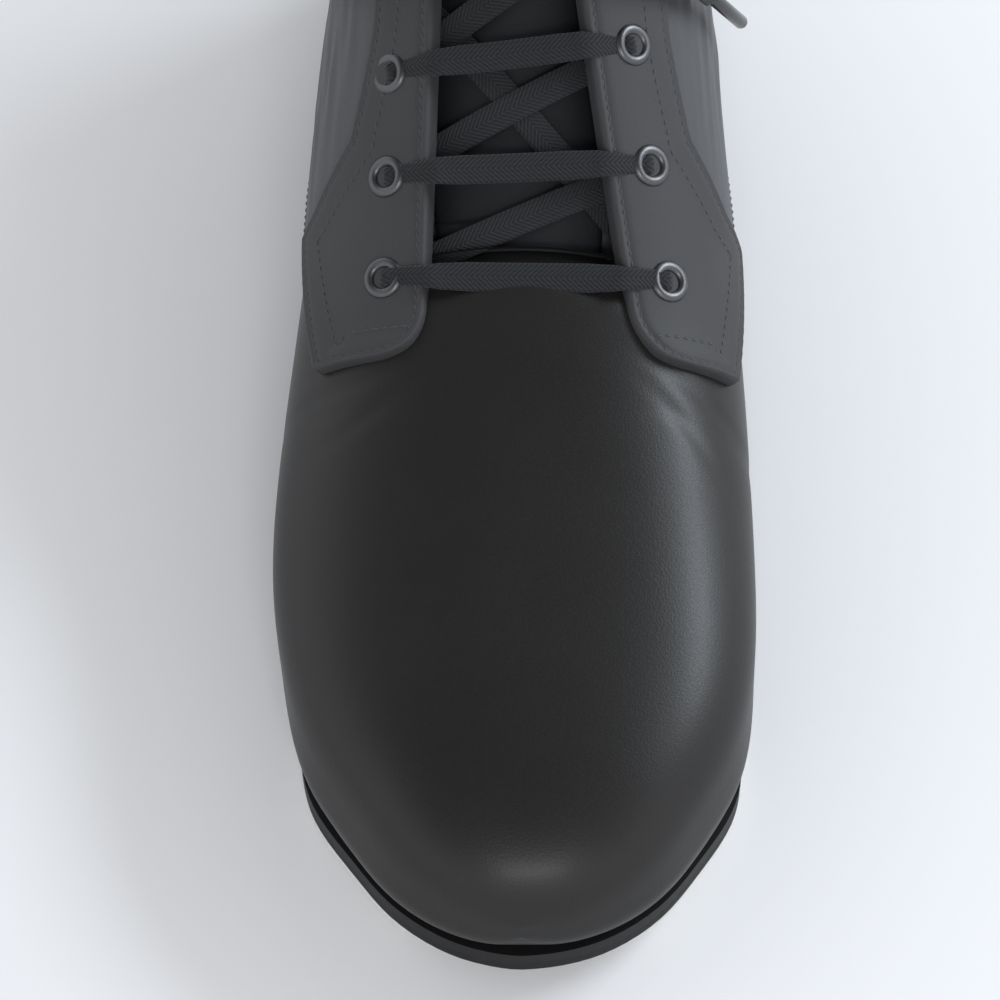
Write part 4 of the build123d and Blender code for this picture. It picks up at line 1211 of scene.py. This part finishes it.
# ---- lacing ---------------------------------------------------------------------------------------
@dataclass
class Eyelets:
    """Rolled metal eyelets in both facings."""

    flange: float = 4.75
    height: float = 1.1
    bore: float = 2.2
    depth: float = 4.0
    sides: int = 40

    def places(self, last: Last) -> dict[tuple[Side, int], tuple[Array, Array]]:
        """Point and outward direction of every eyelet on the facing's face."""
        found = {}
        for side in Side:
            for number in range(EYELETS):
                along = FIRST_EYELET + number * EYELET_PITCH[side.value]
                x = throat_edge(along, side) + side.value * EYELET_MARGIN[side.value]
                y, e = along - UPPER_LENGTH / 2, 0.5
                xs, ys = np.array([x, x + e, x - e, x, x]), np.array([y, y, y, y + e, y - e])
                z = last.top_height(xs, ys, LEATHER)
                normal = np.array([-(z[1] - z[2]) / (2 * e), -(z[3] - z[4]) / (2 * e), 1.0])
                found[side, number] = np.array([x, y, z[0]]), normal / np.linalg.norm(normal)
        return found

    def build(self, d: Dresser, places: dict) -> None:
        """Make the rings of both sides."""
        b, f, h = self.bore, self.flange, self.height
        profile = [(f - 0.5, -0.5), (f, -0.1), (f, 0.25), (f - 0.25, h * 0.7), (f - 0.8, h), (b + 0.9, h)]
        profile += [(b + 0.35, h * 0.75), (b + 0.05, h * 0.2), (b, -0.6), (b, -self.depth)]
        turn = np.arange(self.sides) * 2 * math.pi / self.sides
        for side in Side:
            points, faces = [], []
            for number in range(EYELETS):
                spot, n = places[side, number]
                a = np.cross(n, (0.0, 1.0, 0.0))
                a /= np.linalg.norm(a)
                c, first = np.cross(n, a), len(points)
                for radius, level in profile:
                    for angle in turn:
                        points.append(spot + (a * math.cos(angle) + c * math.sin(angle)) * radius + n * level)
                for r in range(len(profile) - 1):
                    for s in range(self.sides):
                        o, e = first + r * self.sides, (s + 1) % self.sides
                        faces.append((o + s, o + e, o + self.sides + e, o + self.sides + s))
            obj = make_object(f"eyelet_rings_{side.label}", d.last.world(np.array(points)), faces)
            d.finish(obj, "eyelet_metal", "shoe", [f"eyelets_{side.label}"])


@dataclass
class LaceRuns:
    """The lace where it is drawn through the eyelets."""

    over: float = 2.2
    bridge: float = -2.6
    cross_depth: float = -4.6
    long_depth: float = -5.95
    gathered: float = 4.1
    step: float = 0.7

    def strap(self, d: Dresser, name: str, controls: Array, ups: Array, widths: Sequence[float], swap: float = 1.0) -> bpy.types.Object:
        """A run of lace through control points."""
        line = smooth_line(controls, self.step)
        s = np.linspace(0, 1, len(line))
        knots = np.linspace(0, 1, len(controls))
        up = np.stack([np.interp(s, knots, ups[:, k]) for k in range(3)], axis=1)
        width = np.interp(s, knots, widths)
        thickness = LACE_THICKNESS * np.clip(LACE_WIDTH / width, 1.0, 1.7)
        return ribbon_mesh(name, d.last, line, up, width, thickness)

    def top_run(self, d: Dresser, places: dict, number: int, up: Array) -> bpy.types.Object:
        """The straight run over one pair of eyelets."""
        (a, na), (b, nb) = places[Side.LATERAL, number], places[Side.MEDIAL, number]
        across = (b - a) / np.linalg.norm(b - a)
        inner = [a + across * r for r in (9.8, 15.0)] + [(a + b) / 2] + [b - across * r for r in (15.0, 9.8)]
        lifts = (1.1, -0.6, self.bridge, -0.6, 1.1)
        bridge = [
            d.last.raised_onto(p[None], up[None], LEATHER)[0] + up * lift for p, lift in zip(inner, lifts)
        ]
        points = [a - na * 3.2, a - na * 0.4, a + na * 1.3 + across * 1.2, a + na * 2.1 + across * 4.2, *bridge]
        points += [b + nb * 2.1 - across * 4.2, b + nb * 1.3 - across * 1.2, b - nb * 0.4, b - nb * 3.2]
        down_a, down_b = across - na * 0.1, -across - nb * 0.1
        ups = [-down_a, -down_a, na - across * 0.4, na, *[up] * 5, nb, nb + across * 0.4, -down_b, -down_b]
        g, w = self.gathered, LACE_WIDTH
        widths = [g * 0.9, g, g * 1.12, w * 0.93, w, w, w, w, w, w * 0.93, g * 1.12, g, g * 0.9]
        return self.strap(d, f"top_run_{number}", np.array(points), np.array(ups), widths)

    def under_run(self, d: Dresser, places: dict, start: tuple, finish: tuple, depth: float, up: Array) -> bpy.types.Object:
        """A slanting run under the facings."""
        (a, na), (b, nb) = places[start], places[finish]
        shares = np.linspace(0, 1, 11)[1:-1]
        line = a + (b - a) * shares[:, None]
        line = d.last.raised_onto(line, np.tile(up, (len(line), 1)), depth)
        points = np.vstack([a - na * 2.5, line, b - nb * 2.5])
        ups = np.vstack([na, np.tile(up, (len(line), 1)), nb])
        widths = [self.gathered] + [LACE_WIDTH] * len(line) + [self.gathered]
        return self.strap(d, f"under_run_{start[1]}_{finish[1]}", points, ups, widths)

    def instep_up(self, places: dict) -> Array:
        """Direction square to the lacing, up from the instep."""
        low = (places[Side.LATERAL, 0][0] + places[Side.MEDIAL, 0][0]) / 2
        high = (places[Side.LATERAL, EYELETS - 1][0] + places[Side.MEDIAL, EYELETS - 1][0]) / 2
        climb = np.array([0.0, high[1] - low[1], high[2] - low[2]])
        climb /= np.linalg.norm(climb)
        return np.array([0.0, -climb[2], climb[1]])

    def build(self, d: Dresser, places: dict) -> None:
        """Make every run of the laced part."""
        up = self.instep_up(places)
        runs = [self.top_run(d, places, number, up) for number in range(EYELETS)]
        for number in range(EYELETS - 1):
            ends = (Side.LATERAL, number), (Side.MEDIAL, number + 1)
            runs.append(self.under_run(d, places, *ends, self.cross_depth, up))
        ends = (Side.LATERAL, EYELETS - 1), (Side.MEDIAL, 0)
        runs.append(self.under_run(d, places, *ends, self.long_depth, up))
        d.finish(joined("lace_runs", runs), "lace_cord", "shoe", ["lace_laced"])


END_ROUTES = {
    Side.MEDIAL: ((32.0, -4.0, -4.0), (41.0, -0.5, -12.6), (46.8, 3.5, -24.1)),
    Side.LATERAL: ((30.5, -1.5, -4.5), (38.0, 4.5, -14.0), (42.0, 11.0, -25.0)),
}
LOOP_ROUTES = {
    Side.MEDIAL: (
        (31.0, -3.5, 5.5), (41.5, 3.0, 1.0), (48.5, 13.0, -6.0), (49.5, 25.0, -11.5),
        (43.0, 34.5, -9.0), (33.0, 37.0, 1.0), (26.5, 27.5, 9.5), (23.5, 14.0, 10.5),
    ),
    Side.LATERAL: (
        (30.0, -2.5, 6.5), (40.0, 5.0, 2.5), (46.5, 16.0, -4.0), (47.0, 28.5, -9.5),
        (40.5, 38.0, -8.0), (30.5, 38.5, 0.5), (24.5, 28.5, 7.0), (23.0, 14.5, 9.5),
    ),
}


@dataclass
class Bow:
    """The knot with its two loops and two free ends."""

    exit_run: float = 10.5
    aglet_radius: float = 1.6
    aglet_length: float = 18.5
    step: float = 0.8

    def route(self, seat: Array, up: Array, side: Side, exits: Sequence[tuple[float, float]], middle: Sequence, back: bool) -> Array:
        """Points of a free part of the lace from the knot's side, and back to it for a loop."""
        climb = np.array([0.0, up[2], -up[1]])
        half = KNOT_SIZE[0] / 2

        def exit_point(along: float, rise: float, reach: float) -> Array:
            return climb * along + up * rise + (half + reach, 0.0, 0.0)

        points = [exit_point(*exits[0], 0.0), exit_point(*exits[0], self.exit_run)]
        points += [np.array(p) for p in middle]
        if back:
            points += [exit_point(*exits[1], self.exit_run), exit_point(*exits[1], 0.0)]
        return np.array([seat + p * (side.value, 1.0, 1.0) for p in points])

    def curved(self, points: Array) -> Array:
        """The smooth line that a lace takes along a route: arcs between the middles of its runs."""
        middles = (points[:-1] + points[1:]) / 2
        starts = [points[0], *middles[1:-1]]
        ends = [*middles[1:-1], points[-1]]
        out = []
        for a, corner, b in zip(starts, points[1:-1], ends):
            count = max(4, int(np.linalg.norm(b - a) / self.step))
            s = np.linspace(0, 1, count, endpoint=False)[:, None]
            out.append((1 - s) ** 2 * a + 2 * s * (1 - s) * corner + s**2 * b)
        return np.vstack([*out, points[-1:]])

    def lace(self, d: Dresser, name: str, line: Array, end_width: float) -> bpy.types.Object:
        """A free lace that bends about its own width."""
        centre = line.mean(axis=0)
        area = np.cross(line[:-1] - centre, line[1:] - centre).sum(axis=0)
        area /= np.linalg.norm(area)
        way = np.gradient(line, axis=0)
        ups = np.cross(area, way)
        width = np.full(len(line), LACE_WIDTH)
        fade = max(4, len(line) // 14)
        if end_width:
            width[-fade:] = np.linspace(LACE_WIDTH, end_width, fade)
        thickness = LACE_THICKNESS * np.clip(LACE_WIDTH / width, 1.0, 1.9)
        return ribbon_mesh(name, d.last, line, ups, width, thickness)

    def aglet(self, d: Dresser, name: str, start: Array, way: Array) -> bpy.types.Object:
        """The stiff tip of the lace."""
        r, length = self.aglet_radius, self.aglet_length
        profile = [(0.0, 0.0), (r * 0.9, 0.0), (r, 0.5), (r, length - 1.2), (r * 0.85, length - 0.4), (r * 0.5, length), (0.0, length)]
        a = np.cross(way, (0.0, 0.0, 1.0))
        a /= np.linalg.norm(a)
        c, sides = np.cross(way, a), 24
        points = [
            start + way * level + (a * math.cos(q) + c * math.sin(q)) * radius
            for radius, level in profile
            for q in np.arange(sides) * 2 * math.pi / sides
        ]
        faces = [
            (r0 * sides + s, r0 * sides + (s + 1) % sides, (r0 + 1) * sides + (s + 1) % sides, (r0 + 1) * sides + s)
            for r0 in range(len(profile) - 1)
            for s in range(sides)
        ]
        return make_object(name, d.last.world(np.array(points)), faces)

    def knot(self, d: Dresser, seat: Array, up: Array) -> None:
        """The knot: a soft lump with the lace wrapped round its middle."""
        climb = np.array([0.0, up[2], -up[1]])
        centre = seat + up * KNOT_SIZE[2] * 0.5
        turn, rise = np.meshgrid(np.linspace(0, 2 * math.pi, 49)[:-1], np.linspace(-1.45, 1.45, 25), indexing="ij")
        c, s, q = np.cos(turn).ravel(), np.sin(turn).ravel(), rise.ravel()
        pinch = 1 - 0.16 * np.cos(2 * turn.ravel())
        x = np.sign(np.sin(q)) * np.abs(np.sin(q)) ** 0.8 * KNOT_SIZE[0] * 0.5
        girth = np.abs(np.cos(q)) ** 0.45 * (1 + 0.07 * np.sin(5 * q + 2 * turn.ravel()))
        points = (
            centre
            + x[:, None] * (1.0, 0.0, 0.0)
            + (c * girth * pinch * KNOT_SIZE[1] * 0.44)[:, None] * climb
            + (s * girth * KNOT_SIZE[2] * 0.46)[:, None] * up
        )
        rows, columns = turn.shape
        faces = [
            (i * columns + j, i * columns + j + 1, (i + 1) % rows * columns + j + 1, (i + 1) % rows * columns + j)
            for i in range(rows)
            for j in range(columns - 1)
        ]
        faces += [tuple(i * columns for i in range(rows)), tuple(i * columns + columns - 1 for i in range(rows))[::-1]]
        uv = np.stack([turn.ravel() * 6.0, x * 0.9], axis=1)
        lump = make_object("knot_lump", d.last.world(points), faces, uv)
        angle = np.linspace(0, 2 * math.pi, 60)
        out = np.cos(angle)[:, None] * climb * KNOT_SIZE[1] * 0.47 + np.sin(angle)[:, None] * up * KNOT_SIZE[2] * 0.5
        ring = centre + out + np.linspace(-1.2, 1.2, 60)[:, None] * (1.0, 0.0, 0.0)
        size = np.ones(60)
        band = ribbon_mesh("knot_band", d.last, ring, out, size * LACE_WIDTH, size * LACE_THICKNESS)
        d.finish(joined("knot_wrap", [lump, band]), "lace_cord", "shoe", ["lace_knot"])

    def build(self, d: Dresser, seat: Array, up: Array) -> None:
        """Make the knot, both loops, both ends and their tips."""
        self.knot(d, seat, up)
        length, depth, rise = KNOT_SIZE
        end_exit, loop_exits = (-0.36 * depth, 0.3 * rise), ((-0.15 * depth, 0.75 * rise), (0.28 * depth, 0.5 * rise))
        for side in Side:
            points = self.route(seat, up, side, [end_exit], END_ROUTES[side], back=False)
            line = self.curved(points)
            way = (points[-1] - points[-2]) / np.linalg.norm(points[-1] - points[-2])
            tip = self.aglet(d, f"lace_tip_{side.label}", points[-1] - way * 0.3, way)
            d.finish(tip, "aglet_plastic", "shoe", [f"aglet_{side.label}"])
            end = self.lace(d, f"free_end_{side.label}", line, self.aglet_radius * 1.9)
            d.finish(end, "lace_cord", "shoe", [f"lace_end_{side.label}"])
            self.declare(d, line)
            line = self.curved(self.route(seat, up, side, loop_exits, LOOP_ROUTES[side], back=True))
            loop = self.lace(d, f"bow_loop_{side.label}", line, 0.0)
            d.finish(loop, "lace_cord", "shoe", [f"lace_loop_{side.label}"])
            self.declare(d, line)

    def declare(self, d: Dresser, line: Array) -> None:
        """Work out where a piece of lace lies in the shared frame; nothing is done with the result."""
        path = d.last.world(line)


# ---- studio ---------------------------------------------------------------------------------------
@dataclass
class Studio:
    """Pale floor, soft light and the camera."""

    elevation: float = 59.0
    distance: float = 0.80
    target: tuple[float, float, float] = (0.0014, -0.0675, 0.030)
    lens: float = 131.3
    shift: tuple[float, float] = (-0.020, 0.090)
    sky_levels: tuple[float, float] = (0.45, 0.85)
    sky_strengths: tuple[float, float] = (1.30, 0.25)

    def camera(self) -> None:
        """Place the camera in front of the toe, looking down along the shoe."""
        data = bpy.data.cameras.new("camera")
        data.lens, data.sensor_width = self.lens, 36.0
        data.shift_x, data.shift_y = self.shift
        data.clip_start, data.clip_end = 0.01, 20.0
        obj = bpy.data.objects.new("camera", data)
        angle = math.radians(self.elevation)
        away = Vector((0.0, -math.cos(angle), math.sin(angle)))
        obj.location = Vector(self.target) + away * self.distance
        obj.rotation_euler = (-away).to_track_quat("-Z", "Y").to_euler()
        bpy.context.scene.collection.objects.link(obj)
        bpy.context.scene.camera = obj

    def light(self, name: str, place: Sequence[float], aim: Sequence[float], size: tuple[float, float], power: float, colour: tuple) -> None:
        """A soft rectangular light."""
        data = bpy.data.lights.new(name, "AREA")
        data.shape, data.size, data.size_y = "RECTANGLE", *size
        data.energy, data.color = power, colour
        obj = bpy.data.objects.new(name, data)
        obj.location = place
        obj.rotation_euler = (Vector(aim) - Vector(place)).to_track_quat("-Z", "Y").to_euler()
        bpy.context.scene.collection.objects.link(obj)

    def build(self, ground: float) -> None:
        """Make floor, lights and camera."""
        size = 6.0
        corners = np.array([(-size, -size, ground), (size, -size, ground), (size, size, ground), (-size, size, ground)])
        floor = make_object("floor", corners, [(0, 1, 2, 3)])
        g = Graph("paper")
        g.surface(Base_Color=(0.86, 0.86, 0.87), Roughness=0.8)
        floor.data.materials.append(g.material)
        bpy.context.scene.view_settings.view_transform = "Standard"
        world = bpy.data.worlds.new("room")
        world.use_nodes = True
        tree = world.node_tree
        background = tree.nodes["Background"]
        place, parts = tree.nodes.new("ShaderNodeTexCoord"), tree.nodes.new("ShaderNodeSeparateXYZ")
        fade = tree.nodes.new("ShaderNodeMapRange")
        for number, setting in enumerate((*self.sky_levels, *self.sky_strengths), start=1):
            fade.inputs[number].default_value = setting
        fade.interpolation_type = "SMOOTHSTEP"
        tree.links.new(place.outputs["Generated"], parts.inputs[0])
        tree.links.new(parts.outputs[2], fade.inputs[0])
        tree.links.new(fade.outputs[0], background.inputs[1])
        background.inputs[0].default_value = (0.95, 0.97, 1.0, 1.0)
        bpy.context.scene.world = world
        self.light("side", (1.0, 0.45, 0.80), (0, -0.05, 0.04), (0.7, 0.3), 10.0, (0.84, 0.92, 1.0))
        self.light("front", (0.12, -1.3, 1.15), (0, -0.05, 0.03), (0.5, 0.35), 6.0, (1.0, 1.0, 1.0))
        self.camera()


def last_origin() -> Array:
    """Where the last stands in the shared frame, from the nails, which lie evenly about its middle."""
    low, high = (np.array(corner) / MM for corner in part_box("heel_nails"))
    nails = (232.0 + 280.0) / 2 - UPPER_LENGTH / 2
    return np.array([(low[0] + high[0]) / 2, (low[1] + high[1]) / 2 - nails, 0.0])


def main() -> None:
    """Dress the frame, build every visible piece and the studio."""
    last, wardrobe = Last(last_origin()), Wardrobe()
    log.info("last stands at %s", last.shift)
    wardrobe.dress_frame()
    dresser = Dresser(last, wardrobe)
    for piece in (Vamp(), Facings(), Quarters(), Collar(), Tongue()):
        piece.build(dresser)
    places = Eyelets().places(last)
    Eyelets().build(dresser, places)
    runs = LaceRuns()
    runs.build(dresser, places)
    Bow().build(dresser, knot_seat(places, runs, last), runs.instep_up(places))
    Studio().build(0.0)


def knot_seat(places: dict, runs: LaceRuns, last: Last) -> Array:
    """Middle of the knot's underside, on the highest run of lace."""
    top = EYELETS - 1
    middle = (places[Side.LATERAL, top][0] + places[Side.MEDIAL, top][0]) / 2
    up = runs.instep_up(places)
    return last.raised_onto(middle[None], up[None], LEATHER)[0] + up * (runs.bridge + LACE_THICKNESS / 2)


if __name__ == "__main__":
    main()
